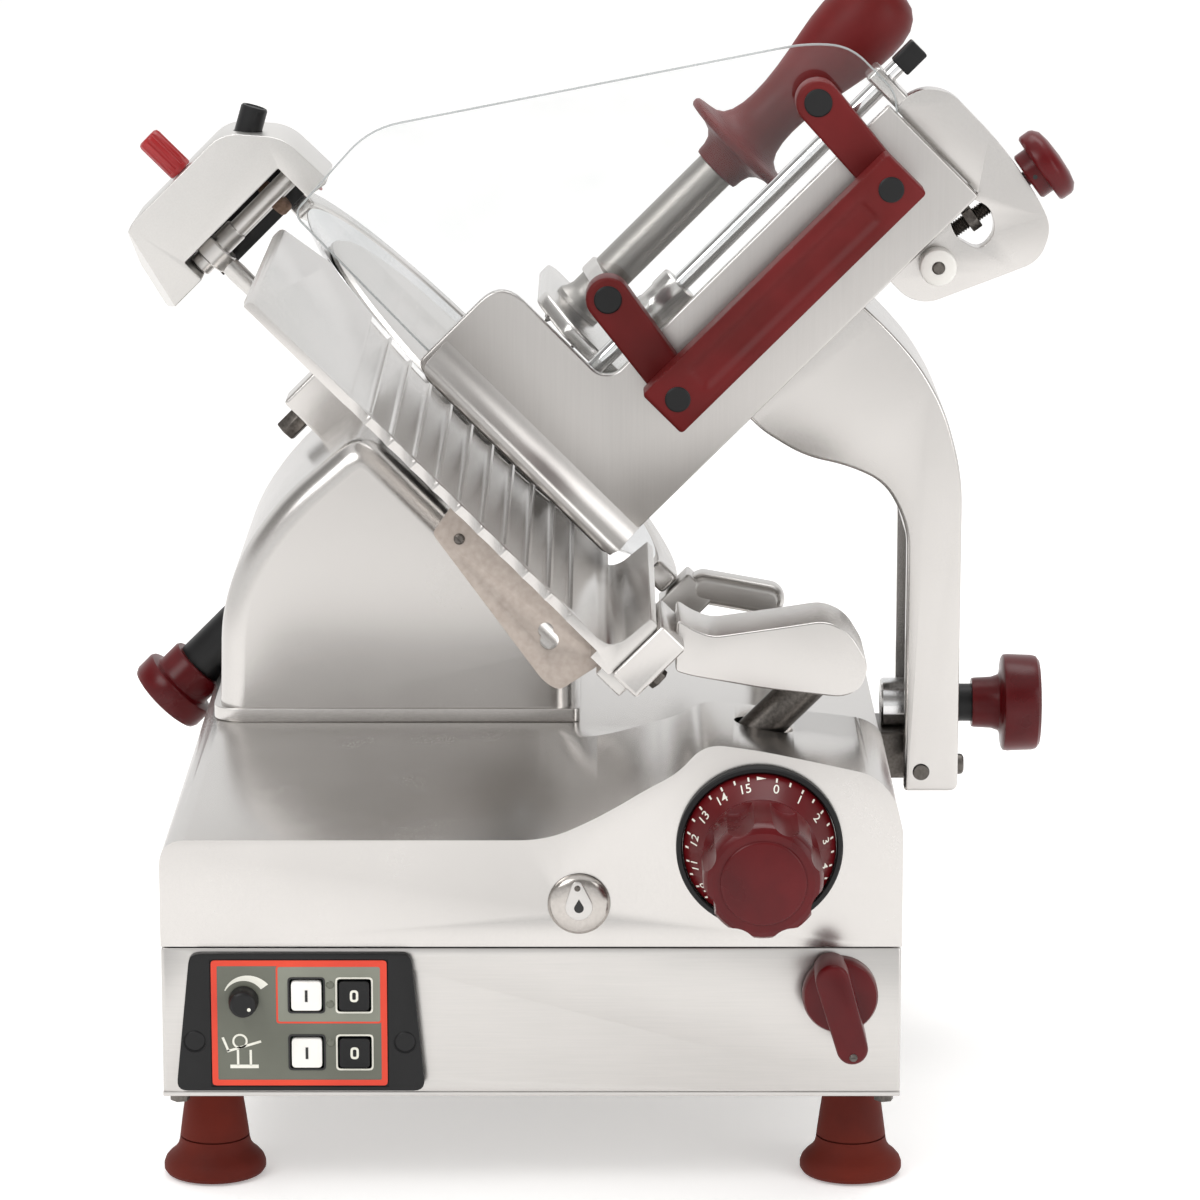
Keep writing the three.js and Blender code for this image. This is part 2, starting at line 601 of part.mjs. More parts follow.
function endFittings() {
  const knob = [[0, -58], [5, -58], [5, 3], [16, 3], [16, 12], [24, 12.5], [24, 22], [20, 27], [0, 28]];
  add(level, 'end_knob', endTurned(knob, 24), wineRed);
  const roller = join(bar('y', 11.7, 258, 275.5, 254.5, 524), bar('y', 4, 257, 296, 254.5, 524, 16));
  add(level, 'roller', roller, whiteNylon);
}

// ---- Pusher ----
function pusher() {
  add(slope, 'pusher_rod', bar('z', ROD.radius, TRAY.low + 66.3, 638, ROD.s, ROD.y), chrome);
  // The sleeve slides on the rod, and the pusher's eye turns on the neck at its lower end.
  add(slope, 'pusher_sleeve', cut(
    join(bar('z', 13, 388, 425, ROD.s, ROD.y), bar('z', 10.4, 374, 390, ROD.s, ROD.y)),
    bar('z', 6.4, 370, 430, ROD.s, ROD.y),
  ), castAluminium);
  const plate = prism(
    [[-222, 316, 8], [-322, 316], [-346, 345, 4], [-346, 478, 14], [-222, 478, 8]], 'z', 343, 355,
  );
  const stem = bar('z', PUSHER.tube, 350, 484, PUSHER.s, PUSHER.y);
  const link = prism(loopPoints(ROD.s, ROD.y, 14.5, PUSHER.s, PUSHER.y, 15, 8), 'z', 375, 387.6);
  add(slope, 'pusher_plate', cut(
    join(plate, stem, link), bar('z', 10.8, 360, 400, ROD.s, ROD.y),
  ), castAluminium);
  const handle = [
    [0, 484.3], [17, 484.3], [18.5, 494], [24, 500], [42, 503.5], [42, 509], [25, 513], [19.5, 523],
    [18, 537], [20, 560], [24, 584], [27.5, 603], [28.5, 618], [27, 633], [20, 645], [10, 650], [0, 651],
  ];
  add(slope, 'pusher_handle', turned(handle, 'z', PUSHER.s, PUSHER.y, 24), wineRed);
}

function carriage() {
  trolley();
  add(level, 'carriage_arm', carriageArm(), castAluminium);
  lockKnob();
  add(slope, 'product_tray', productTray(), stainless);
  add(slope, 'clear_guard', clearGuard(), clearSheet);
  add(slope, 'carriage_handle', carriageHandle(), wineRed);
  add(level, 'end_bracket', endBracket(), castAluminium);
  endFittings();
  pusher();
}

base();
controls();
strokeLever();
dial();
gauge();
bladeDrive();
tieRod();
ringGuard();
sharpener();
carriage();

// The origin is the middle of the machine's footprint, on the surface that it stands on.
machine.updateMatrixWorld(true);
const middle = new THREE.Box3().setFromObject(machine, true).getCenter(new THREE.Vector3());
machine.position.set(-middle.x, -middle.y, 0);

export default machine;
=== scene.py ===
# %% [markdown]
# # Deli meat slicer
# The machine's CAD pieces load as a fixed frame, and this script gives each visible one its finished shape
# and surface. Lengths are written in millimetres, as on a workshop drawing, and turned to metres at the end
# of each piece. Two drawing frames are used: the level one (X right, Y away from the operator, Z up) and the
# leaning one of the blade, tray and pusher (s down the slope, Y, n square to the blade).

import math

import bpy
from mathutils import Matrix, Vector


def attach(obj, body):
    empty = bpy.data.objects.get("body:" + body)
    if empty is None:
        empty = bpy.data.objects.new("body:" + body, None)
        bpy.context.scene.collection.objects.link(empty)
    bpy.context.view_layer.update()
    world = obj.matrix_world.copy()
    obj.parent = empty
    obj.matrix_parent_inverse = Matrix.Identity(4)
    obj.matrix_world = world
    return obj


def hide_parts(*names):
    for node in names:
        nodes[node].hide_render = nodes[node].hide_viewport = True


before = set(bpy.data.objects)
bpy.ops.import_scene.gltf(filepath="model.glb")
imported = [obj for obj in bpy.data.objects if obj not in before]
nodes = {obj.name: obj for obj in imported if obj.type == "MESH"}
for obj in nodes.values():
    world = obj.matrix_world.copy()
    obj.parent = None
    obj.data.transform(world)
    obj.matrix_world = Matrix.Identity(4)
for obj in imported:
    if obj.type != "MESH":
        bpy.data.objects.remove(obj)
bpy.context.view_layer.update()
MM = 0.001
DRAWING_ORIGIN = Vector((-34.1205, -280.4749, 0)) * MM

# %% [markdown]
# ## Camera
# A long lens from a little above, as a catalogue picture is taken: the machine's front stays square
# and its top surfaces just show.

# %% Camera
def deselect_all():
    bpy.ops.object.select_all(action="DESELECT")


deselect_all()
CAMERA_PLACE, CAMERA_TILT = (0.00688, -3.1445, 1.002), 77.5
bpy.ops.object.camera_add(location=CAMERA_PLACE, rotation=(math.radians(CAMERA_TILT), 0, 0))
camera = bpy.context.object
camera.name = "catalogue_camera"
camera.data.lens = 150
camera.data.sensor_width = 36
bpy.context.scene.camera = camera
print("camera at", tuple(camera.location))

# %% [markdown]
# ## Node helpers
# Colours are given as sRGB hex values, as a paint chart has them, and one function turns them to the linear
# numbers that the shader works in. One more function adds a node, sets it and links its inputs.


# %% Colour and node helpers
def linear(hex_colour):
    channels = [int(hex_colour[i : i + 2], 16) / 255 for i in (1, 3, 5)]
    return [c / 12.92 if c <= 0.04045 else ((c + 0.055) / 1.055) ** 2.4 for c in channels] + [1.0]


def add_node(tree, kind, inputs=None, **settings):
    node = tree.nodes.new(kind)
    for key, value in settings.items():
        setattr(node, key, value)
    for key, value in (inputs or {}).items():
        if isinstance(value, bpy.types.NodeSocket):
            tree.links.new(value, node.inputs[key])
        else:
            node.inputs[key].default_value = value
    return node


def new_material(name, **constants):
    material = bpy.data.materials.new(name)
    material.use_nodes = True
    shader = material.node_tree.nodes["Principled BSDF"]
    for key, value in constants.items():
        shader.inputs[key.replace("_", " ")].default_value = value
    return material, material.node_tree, shader


def object_space(tree, scale=(1, 1, 1), turn=(0, 0, 0)):
    where = add_node(tree, "ShaderNodeTexCoord")
    mapping = add_node(tree, "ShaderNodeMapping", {"Vector": where.outputs["Object"], "Scale": scale})
    mapping.inputs["Rotation"].default_value = turn
    return mapping.outputs["Vector"]


def ramp(tree, factor, *stops):
    node = add_node(tree, "ShaderNodeValToRGB", {"Fac": factor})
    elements = node.color_ramp.elements
    while len(elements) < len(stops):
        elements.new(0.5)
    for element, (position, colour) in zip(elements, stops):
        element.position = position
        element.color = linear(colour) if isinstance(colour, str) else [colour] * 3 + [1]
    return node.outputs["Color"]


def wire(tree, shader, shade, stops, roughness, grain, bump, depth):
    """One noise drives colour and roughness, and a finer one the relief."""
    rough = add_node(tree, "ShaderNodeMapRange", {"Value": shade, "From Min": 0.3, "From Max": 0.7})
    rough.inputs["To Min"].default_value, rough.inputs["To Max"].default_value = roughness
    relief = add_node(tree, "ShaderNodeBump", {"Height": grain, "Strength": bump, "Distance": depth})
    tree.links.new(ramp(tree, shade, *stops), shader.inputs["Base Color"])
    tree.links.new(rough.outputs["Result"], shader.inputs["Roughness"])
    tree.links.new(relief.outputs["Normal"], shader.inputs["Normal"])


print("helpers ready")

# %% [markdown]
# ## Metals
# The castings are aluminium, sand cast and then ground and polished by hand, so they are bright but not
# mirrors: a soft grain runs over them, with broad, faint smudges. The sheet parts are stainless steel,
# brushed along their length. Real brushing lines are about 0.05 mm apart; here they are drawn at about
# 0.4 mm, which is the finest that still shows.


# %% Metal finishes
def grained_metal(name, dark, light, roughness, bump, grain_scale=900, stretch=(1, 1, 1), turn=(0, 0, 0)):
    material, tree, shader = new_material(name, Metallic=1.0)
    lines = object_space(tree, stretch, turn)
    grain = add_node(tree, "ShaderNodeTexNoise", {"Vector": lines, "Scale": grain_scale, "Detail": 3.0})
    cloud = add_node(
        tree, "ShaderNodeTexNoise", {"Vector": object_space(tree), "Scale": 14.0, "Detail": 2.0}
    )
    mixed = add_node(
        tree, "ShaderNodeMix", {0: 0.45, 2: grain.outputs["Fac"], 3: cloud.outputs["Fac"]},
        data_type="FLOAT"
    )
    stops = (0.3, dark), (0.7, light)
    wire(tree, shader, mixed.outputs[0], stops, roughness, grain.outputs["Fac"], bump, 0.0004)
    return material


polished_casting = grained_metal("polished_cast_aluminium", "#C4C1BE", "#CECBC8", (0.22, 0.28), 0.004)
blasted_casting = grained_metal("blasted_cast_aluminium", "#CFCDCA", "#D7D5D2", (0.36, 0.42), 0.01)
brushed_sheet = grained_metal(
    "brushed_stainless_sheet", "#C0BEBB", "#C8C5C2", (0.28, 0.32), 0.004, stretch=(0.03, 1, 1)
)
slope_sheet = grained_metal(
    "brushed_stainless_tray", "#BEBBB8", "#C4C1BE", (0.3, 0.33), 0.001,
    stretch=(1, 1, 0.03), turn=(0, -math.pi / 4, 0)
)
worn_sheet = grained_metal("worn_stainless_sheet", "#9A8F87", "#B5ABA3", (0.34, 0.46), 0.01, 260)
tube_sheet = grained_metal("satin_steel_tube", "#96938F", "#A5A29E", (0.4, 0.46), 0.002)
ground_steel = grained_metal("ground_tool_steel", "#C9C9C9", "#E4E4E4", (0.1, 0.2), 0.01, 700)
blued_steel = grained_metal("blued_steel", "#B0ABA6", "#C2BDB8", (0.2, 0.28), 0.004, 500)
dark_steel = grained_metal("oiled_carbon_steel", "#4A4643", "#77726D", (0.3, 0.46), 0.05, 500)
chrome_plate = grained_metal("hard_chrome_plate", "#DEDEDE", "#EFEFEF", (0.04, 0.09), 0.004, 300)
print("metals ready")

# %% [markdown]
# ## Plastics, rubber, stone and print
# The handles are glass-filled nylon, moulded in a dark wine red. The moulding leaves a fine, even grain and a
# slight mottle where the colour is thicker. The feet are nitrile rubber, dull and a little dusty.


# %% Moulded finishes
def moulded(name, dark, light, roughness, grain_mm=0.6, bump=0.05, mottle=22.0, **constants):
    material, tree, shader = new_material(name, **constants)
    space = object_space(tree)
    cloud = add_node(tree, "ShaderNodeTexNoise", {"Vector": space, "Scale": mottle, "Detail": 4.0})
    pores = add_node(tree, "ShaderNodeTexNoise", {"Vector": space, "Scale": 1000 / grain_mm, "Detail": 2.0})
    stops = (0.35, dark), (0.65, light)
    wire(tree, shader, cloud.outputs["Fac"], stops, roughness, pores.outputs["Fac"], bump, 0.0003)
    return material


wine_nylon = moulded(
    "glass_filled_nylon_wine", "#5A1312", "#69191A", (0.4, 0.5), bump=0.01, Specular_IOR_Level=0.2
)
dial_nylon = moulded(
    "glass_filled_nylon_dial", "#4A070B", "#5C0D12", (0.26, 0.32), bump=0.02, Specular_IOR_Level=0.25
)
signal_abs = moulded("abs_signal_red", "#971519", "#A82023", (0.3, 0.4))
foot_rubber = moulded(
    "nitrile_rubber_brown", "#52150A", "#621D10", (0.6, 0.75), 0.9, 0.1, Specular_IOR_Level=0.2
)
black_abs = moulded("abs_black", "#0F0F10", "#181819", (0.36, 0.5), Specular_IOR_Level=0.3)
white_acetal = moulded("acetal_white", "#E4E2DC", "#F0EEEA", (0.35, 0.45))
belt_rubber = moulded("neoprene_belt", "#151515", "#222222", (0.6, 0.8), 1.2, 0.2)
circuit_laminate = moulded("epoxy_glass_laminate", "#1F5A38", "#2C7048", (0.3, 0.45))
corundum = moulded("corundum_grit_stone", "#5F4A3B", "#8A7160", (0.85, 0.98), 0.9, 0.8, 180.0)
membrane = moulded("polyester_membrane_grey", "#5C5E53", "#64665B", (0.38, 0.46))
membrane_light = moulded("polyester_membrane_pale", "#797B6F", "#818377", (0.38, 0.46))
orange_print = moulded("screen_ink_orange", "#D2361C", "#DC4023", (0.4, 0.5))
cream_print = moulded("screen_ink_cream", "#D9D8CC", "#E6E5DA", (0.4, 0.5))
black_print = moulded("screen_ink_black", "#141414", "#1C1C1C", (0.4, 0.5))
lens_off = moulded("indicator_lens_unlit", "#5F6156", "#6A6C60", (0.15, 0.2))
clear_sheet, clear_tree, clear_shader = new_material(
    "polycarbonate_clear", Transmission_Weight=1.0, IOR=1.4, Roughness=0.0
)
haze = add_node(clear_tree, "ShaderNodeTexNoise", {"Vector": object_space(clear_tree), "Scale": 30.0})
clear_tint = ramp(clear_tree, haze.outputs["Fac"], (0.3, "#F6F8F8"), (0.7, "#FFFFFF"))
clear_tree.links.new(clear_tint, clear_shader.inputs["Base Color"])
edge_sheet = moulded("polycarbonate_cut_edge", "#A9ADAD", "#B6BABA", (0.2, 0.3), Alpha=0.7)
# Each finish pairs a material with the slot it stands in.
CAST, SHEET, TRAY_SHEET = (
    (polished_casting, "cast_aluminium"), (brushed_sheet, "stainless"), (slope_sheet, "stainless")
)
DARK, GROUND = (dark_steel, "dark_steel"), (ground_steel, "dark_steel")
WINE, DIAL_RED, SIGNAL = (wine_nylon, "wine_red"), (dial_nylon, "wine_red"), (signal_abs, "signal_red")
BLACK, WHITE = (black_abs, "black"), (white_acetal, "white")
CREAM_INK, ORANGE_INK = (cream_print, "black"), (orange_print, "black")
print("plastics ready,", len(bpy.data.materials), "materials")

# %% [markdown]
# ## Modelling helpers
# Every piece starts as a primitive. A flat outline starts as a circle with as many corners as the outline,
# and each corner is carried to its place. A turned piece starts as its half profile and is spun.


# %% Selection and modifiers
def activate(piece):
    deselect_all()
    piece.select_set(True)
    bpy.context.view_layer.objects.active = piece
    return piece


def apply_transform():
    bpy.ops.object.transform_apply(location=True, rotation=True, scale=True)


def edit(piece, *steps):
    activate(piece)
    bpy.ops.object.mode_set(mode="EDIT")
    for step in steps:
        step()
    bpy.ops.object.mode_set(mode="OBJECT")
    return piece


def pick_faces(piece, wanted):
    for element in (*piece.data.vertices, *piece.data.edges):
        element.select = False
    for face in piece.data.polygons:
        face.select = wanted(face.normal)
    activate(piece)
    bpy.ops.object.mode_set(mode="EDIT")
    bpy.ops.mesh.select_mode(type="FACE")
    bpy.ops.object.mode_set(mode="OBJECT")


def modify(piece, kind, **settings):
    activate(piece)
    bpy.ops.object.modifier_add(type=kind)
    modifier = piece.modifiers[-1]
    for key, value in settings.items():
        setattr(modifier, key, value)
    bpy.ops.object.modifier_apply(modifier=modifier.name)
    return piece


def round_edges(piece, width, segments=3, angle=30, **settings):
    return modify(
        piece, "BEVEL", width=width, segments=segments, limit_method="ANGLE",
        angle_limit=math.radians(angle), miter_outer="MITER_ARC", **settings
    )


def boolean(piece, tool, operation="DIFFERENCE"):
    modify(piece, "BOOLEAN", object=tool, operation=operation, solver="EXACT")
    bpy.data.objects.remove(tool)
    return piece


def cut(piece, *tools):
    for tool in tools:
        boolean(piece, tool)
    return piece


def union(first, *others):
    for other in others:
        boolean(first, other, "UNION")
    return first


def faces_operator(normal):
    return normal.y < -0.9


def flat_sides(normal):
    return abs(normal.y) > 0.9


def top_and_bottom(normal):
    return abs(normal.z) > 0.9


def inset(piece, wanted, thickness, depth=0.0):
    pick_faces(piece, wanted)
    return edit(piece, lambda: bpy.ops.mesh.inset(thickness=thickness, depth=depth))


def place(piece, matrix):
    activate(piece)
    piece.matrix_world = matrix
    apply_transform()
    return piece


def lean_down(piece):
    activate(piece)
    piece.rotation_euler = (0, math.pi / 4, 0)
    apply_transform()
    return piece


def join_all(pieces):
    activate(pieces[0])
    for piece in pieces[1:]:
        piece.select_set(True)
    bpy.ops.object.join()
    return pieces[0]


def whole_mesh():
    bpy.ops.mesh.select_all(action="SELECT")


def fix_normals(piece):
    return edit(
        piece,
        whole_mesh,
        lambda: bpy.ops.mesh.remove_doubles(threshold=0.002),
        lambda: bpy.ops.mesh.normals_make_consistent(inside=False),
    )


# %% [markdown]
# `settle` ends every piece: it turns a leaning piece, brings it to metres and to the machine's frame, shades
# it, gives it a material and says which moving body it rides on and which CAD piece it stands for.


# %% Finish a piece
def settle(piece, name, body, finish, stands_for=(), leaning=False, angle=32):
    material, slot = finish
    piece.name = name
    piece.data.name = name
    activate(piece)
    piece.scale = (MM, MM, MM)
    piece.rotation_euler = (0, math.pi / 4 if leaning else 0, 0)
    piece.location = DRAWING_ORIGIN
    apply_transform()
    bpy.ops.object.shade_smooth_by_angle(angle=math.radians(angle))
    piece.data.materials.clear()
    piece.data.materials.append(material)
    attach(piece, body)
    if stands_for:
        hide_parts(*stands_for)
    print(f"{name}: {len(piece.data.polygons)} faces on {body}")
    return piece


# %% Outlines and rounded corners
CORNER_STEPS = 7
PLACES = {
    "x": lambda u, v, w: (w, u, v),
    "y": lambda u, v, w: (u, w, v),
    "z": lambda u, v, w: (u, v, w),
}


def rounded(points, steps=CORNER_STEPS):
    line = []
    count = len(points)
    for i, (x, y, *wanted) in enumerate(points):
        here = Vector((x, y))
        before = Vector(points[i - 1][:2]) - here
        after = Vector(points[(i + 1) % count][:2]) - here
        radius = min((wanted or [0])[0], 0.48 * before.length, 0.48 * after.length)
        if radius <= 0:
            line.append(here)
            continue
        start, end = here + before.normalized() * radius, here + after.normalized() * radius
        for k in range(steps + 1):
            t = k / steps
            line.append(start * (1 - t) ** 2 + here * 2 * t * (1 - t) + end * t * t)
    return [tuple(p) for p in line]


def circle_line(u, v, radius, count=48, start=0.0, end=2 * math.pi):
    full = abs(end - start) > 6.28
    steps = count if full else count - 1
    angles = [start + (end - start) * i / steps for i in range(count)]
    return [(u + radius * math.cos(a), v + radius * math.sin(a)) for a in angles]


def capsule_line(u1, v1, r1, u2, v2, r2, count=14):
    along = math.atan2(v2 - v1, u2 - u1)
    spread = math.acos((r1 - r2) / math.hypot(u2 - u1, v2 - v1))
    first = circle_line(u1, v1, r1, count, along + spread, along - spread + 2 * math.pi)
    return first + circle_line(u2, v2, r2, count, along - spread, along + spread)


def slab(line, axis, low, high):
    deselect_all()
    bpy.ops.mesh.primitive_circle_add(vertices=len(line), fill_type="NGON")
    piece = bpy.context.object
    for vertex, (u, v) in zip(piece.data.vertices, line):
        vertex.co = PLACES[axis](u, v, low)
    rise = Vector(PLACES[axis](0, 0, high - low))
    edit(
        piece,
        whole_mesh,
        lambda: bpy.ops.mesh.extrude_region_move(TRANSFORM_OT_translate={"value": rise}),
    )
    return fix_normals(piece)


def block(x0, x1, y0, y1, z0, z1):
    deselect_all()
    middle = ((x0 + x1) / 2, (y0 + y1) / 2, (z0 + z1) / 2)
    bpy.ops.mesh.primitive_cube_add(size=1, location=middle, scale=(x1 - x0, y1 - y0, z1 - z0))
    piece = bpy.context.object
    apply_transform()
    return piece


# %% Turned pieces
AXES = {"x": (1, 0, 0), "y": (0, 1, 0), "z": (0, 0, 1)}


def turned(profile, axis, u, v, steps=56):
    deselect_all()
    closed = profile[0][0] > 1e-6 or profile[-1][0] > 1e-6
    bpy.ops.mesh.primitive_circle_add(vertices=len(profile), fill_type="NOTHING")
    piece = bpy.context.object
    place = {
        "x": lambda r, h: (h, u + r, v),
        "y": lambda r, h: (u + r, h, v),
        "z": lambda r, h: (u + r, v, h),
    }[axis]
    for vertex, (radius, height) in zip(piece.data.vertices, profile):
        vertex.co = place(radius, height)
    if not closed:
        open_profile(piece, len(profile))
    edit(
        piece,
        whole_mesh,
        lambda: bpy.ops.mesh.spin(steps=steps, angle=2 * math.pi, center=place(0, 0), axis=AXES[axis]),
    )
    return fix_normals(piece)


def open_profile(piece, count):
    for element in (*piece.data.vertices, *piece.data.edges):
        element.select = False
    last = [e for e in piece.data.edges if set(e.vertices) == {0, count - 1}][0]
    last.select = True
    for index in last.vertices:
        piece.data.vertices[index].select = True
    edit(
        piece,
        lambda: bpy.ops.mesh.select_mode(type="EDGE"),
        lambda: bpy.ops.mesh.delete(type="EDGE"),
    )


def shaft(axis, radius, low, high, u, v, chamfer=0.6, steps=40):
    c = min(chamfer, radius * 0.4, (high - low) * 0.3)
    return turned(
        [(0, low), (radius - c, low), (radius, low + c), (radius, high - c), (radius - c, high), (0, high)],
        axis, u, v, steps
    )


# The axes that several pieces share: (s, Y) for those square to the blade, (X, Z) for those along Y and
# (Y, Z) for the one along X.
BLADE_AXIS, GAUGE_AXIS, ROD_AXIS, PUSHER_AXIS = (-320, 460), (-95, 70), (-294, 300), (-319, 400)
SPINDLE_AXIS, STONE_AXIS = (-511, 450), (-506, 480)
OIL_AXIS, SPEED_AXIS, PIVOT_AXIS, ROLLER_AXIS = (28.5, 182), (-171.4, 124), (250, 188), (254.5, 524)
LOCK_AXIS = (347, 221)
print("modelling helpers ready")

# %% [markdown]
# ## Base casting
# The upper base is one casting with a low deck on the left and a hump for the dial on the right. Its front
# outline is drawn once and extruded the whole depth, then a second solid, drawn from the side, takes away
# what lies above the deck. All its outer edges were ground to a soft radius, so a wide bevel follows.

# %% Base casting
deck_line = [
    (-221, 155.4), (-221, 221, 16), (10, 221, 30), (42, 236, 18), (70, 253, 14), (87, 262, 12),
    (103, 280, 16), (134, 276, 22), (167, 269, 22), (203, 261, 18), (216, 247, 10), (221, 226, 4),
    (221, 155.4),
]
side_line = [(-2, 140), (-2, 300), (96, 300, 4), (112, 276, 14), (224, 221, 60), (532, 221), (532, 140)]
casting = slab(rounded(deck_line), "y", 0.2, 529.8)
sides = slab(rounded(side_line), "x", -232, 232)
boolean(casting, sides, "INTERSECT")
round_edges(casting, 7, 5, 38)
cut(casting,
    block(-214, 214, 7, 523, 140, 205),
    block(212, 226, 25, 478, 169, 211),
    shaft("y", 8.5, -5, 16, *OIL_AXIS),
)
gauge_hole = lean_down(shaft("z", 15, 200, 330, *GAUGE_AXIS))
cut(casting, gauge_hole, lean_down(shaft("z", 22.5, -60, 60, *BLADE_AXIS)))
round_edges(casting, 0.6, 2, 50)
settle(casting, "base_casting_shell", "base", CAST, ["base_casting"])

# %% [markdown]
# ## Base box
# Below the seam sits a folded stainless box. Its folded corners have a 2 mm bend radius and a hem runs along
# the bottom, where four screws hold the bottom plate.

# %% Base box
lower = block(-220.8, 220.8, 0.2, 529.8, 62, 154.6)
cut(lower,
    block(-217, 217, 4, 526, 40, 150),
    block(-186, -90, -5, 6, 74, 146),
    block(-172, -128, 520, 540, 98, 122),
)
round_edges(lower, 1.8, 3, 50)
settle(lower, "base_box_sheet", "base", SHEET, ["base_box"])
hem = block(-221, 221, -0.4, 530.2, 62.2, 65.2)
inset(hem, top_and_bottom, 6)
round_edges(hem, 0.7, 2, 40)
settle(hem, "base_hem", "base", SHEET, ["bottom_plate"])


def hexagon(u, v, radius, turn):
    return circle_line(u, v, radius, 6, turn, turn + 2 * math.pi)


def hex_screw(name, axis, radius, low, high, u, v, body, leaning=False):
    head = slab(hexagon(u, v, radius, 0.26), axis, low, high)
    return settle(round_edges(head, radius * 0.12, 2), name, body, DARK, (), leaning)


for i, (x, y) in enumerate([(-212, 14), (212, 14), (-212, 516), (212, 516)]):
    hex_screw(f"base_screw_{i}", "z", 6.2, 55.5, 62, x, y, "base")

# %% [markdown]
# ## Feet
# Four moulded rubber feet, each a cone on a wide lip. The profile is spun, with the lip's roll drawn as
# several short steps so that it shades as one curve.

# %% Feet
foot_profile = [
    (0, 0.4), (26, 0.4), (29.6, 1.2), (31, 3.4), (31, 6.4), (29.9, 9.4), (27.5, 12.2), (24.6, 14.6),
    (22.4, 17.6), (21.4, 21), (20.8, 26), (19.2, 38), (17.4, 50), (16, 58.4), (15.6, 61.6), (0, 61.6),
]
for node, x, y in [
    ("foot_front_left", -194, 45), ("foot_front_right", 194, 45),
    ("foot_back_left", -194, 485), ("foot_back_right", 194, 485),
]:
    rubber = turned(foot_profile, "z", x, y, 64)
    ring = turned([(19.6, 23.4), (21.7, 23.4), (21.7, 24.4), (19.6, 24.4)], "z", x, y, 64)
    cut(rubber, ring)
    settle(rubber, node + "_rubber", "base", (foot_rubber, "brown_rubber"), [node])

# %% [markdown]
# ## Control panel
# A black moulded bezel with sloping ends carries a printed membrane. The prints are thin raised layers, so
# they are thin slabs on top of each other. The frame is an outline cut out of a slightly larger one.


# %% Panel helpers
def box_line(x0, x1, z0, z1, radius=0.0, steps=4):
    return rounded([(x0, z0, radius), (x1, z0, radius), (x1, z1, radius), (x0, z1, radius)], steps)


def square_line(x, z, half_x, half_z, radius, steps=4):
    return box_line(x - half_x, x + half_x, z - half_z, z + half_z, radius, steps)


PRINT_FRONT, PRINT_BACK = -5.75, -5.5


def print_layer(name, line, front, back, finish, hole=None, body="base"):
    layer = slab(line, "y", front, back)
    if hole:
        cut(layer, slab(hole, "y", front - 2, front + 3))
    return settle(layer, name, body, finish)


# %% Panel bezel and membrane
bezel_line = rounded([(-203.5, 152.5, 6), (-71.5, 152.5, 6), (-63.5, 67.5, 7), (-212.5, 67.5, 7)], 5)
panel = slab(bezel_line, "y", -6.1, -0.3)
cut(panel, block(-191.4, -85.4, -8, -5.2, 70.2, 149.2))
round_edges(panel, 1.4, 3, 40)
PLUG_SPOTS = [(-201, 98.6), (-75.4, 98)]
for x, z in PLUG_SPOTS:
    cut(panel, turned([(0, -9), (7, -9), (7, -5.4), (0, -5.4)], "y", x, z, 32))
button_spots = [
    ("start_blade", -134, 127), ("stop_blade", -105.5, 127), ("start_feed", -134, 91.5),
    ("stop_feed", -105.5, 91.5),
]
for name, x, z in button_spots:
    cut(panel, block(x - 9.9, x + 9.9, -9, 1, z - 9.9, z + 9.9))
settle(panel, "panel_bezel", "base", BLACK, ["control_panel"])
for i, (x, z) in enumerate(PLUG_SPOTS):
    cap = turned([(0, -5.9), (5.6, -5.9), (6.5, -5.3), (6.5, -4), (0, -4)], "y", x, z, 32)
    settle(cap, f"panel_plug_{i}", "base", BLACK)

outer = box_line(-190.8, -86, 70.8, 148.6, 2.5)
inner = box_line(-187.3, -89.5, 74.3, 145.1, 1)
print_layer("panel_frame_print", outer, PRINT_FRONT, -5.1, ORANGE_INK, inner)
membrane_layer = slab(box_line(-187.7, -89.1, 73.9, 145.5), "y", -5.6, -5.1)
pale_layer = slab(box_line(-151, -90, 110.6, 144.6, 1.5), "y", -5.7, -5.3)
edge_layer = slab(box_line(-152.1, -89.3, 109.5, 145.3, 2), "y", -5.66, -5.3)
for name, x, z in button_spots:
    for layer in (membrane_layer, pale_layer, edge_layer):
        cut(layer, block(x - 10.2, x + 10.2, -9, 1, z - 10.2, z + 10.2))
settle(membrane_layer, "panel_membrane", "base", (membrane, "black"))
settle(edge_layer, "panel_zone_edge", "base", ORANGE_INK)
settle(pale_layer, "panel_zone", "base", (membrane_light, "black"))

# %% [markdown]
# ## Push buttons
# Each button is a square cap with a domed edge: white ones carry a bar for start, black ones a ring for stop.
# A thin printed square surrounds each. The three round windows beside them are unlit indicator lenses.


# %% Push buttons
for name, x, z in button_spots:
    start = name.startswith("start")
    cap = slab(box_line(x - 9, x + 9, z - 9, z + 9, 2.4), "y", -7.9, 0.5)
    inset(cap, faces_operator, 1.6, -0.45)
    round_edges(cap, 0.5, 3, 25)
    own_body = name + "_button"
    finish, ink = (WHITE, black_print) if start else (BLACK, cream_print)
    settle(cap, name + "_cap", own_body, finish, [own_body])
    if start:
        bar = box_line(x - 0.8, x + 0.8, z - 3.6, z + 3.6)
        print_layer(name + "_mark", bar, -7.7, -7.3, (ink, "white"), body=own_body)
    else:
        outer, inner = square_line(x, z, 2.5, 3.7, 2.4, 7), square_line(x, z, 1.1, 2.3, 1, 7)
        print_layer(name + "_mark", outer, -7.7, -7.3, (ink, "black"), inner, own_body)
    rim, gap = square_line(x, z, 11.2, 11.2, 2.6), square_line(x, z, 10.2, 10.2, 2)
    print_layer(name + "_rim", rim, -5.95, -5.4, (ink, "black"), gap)
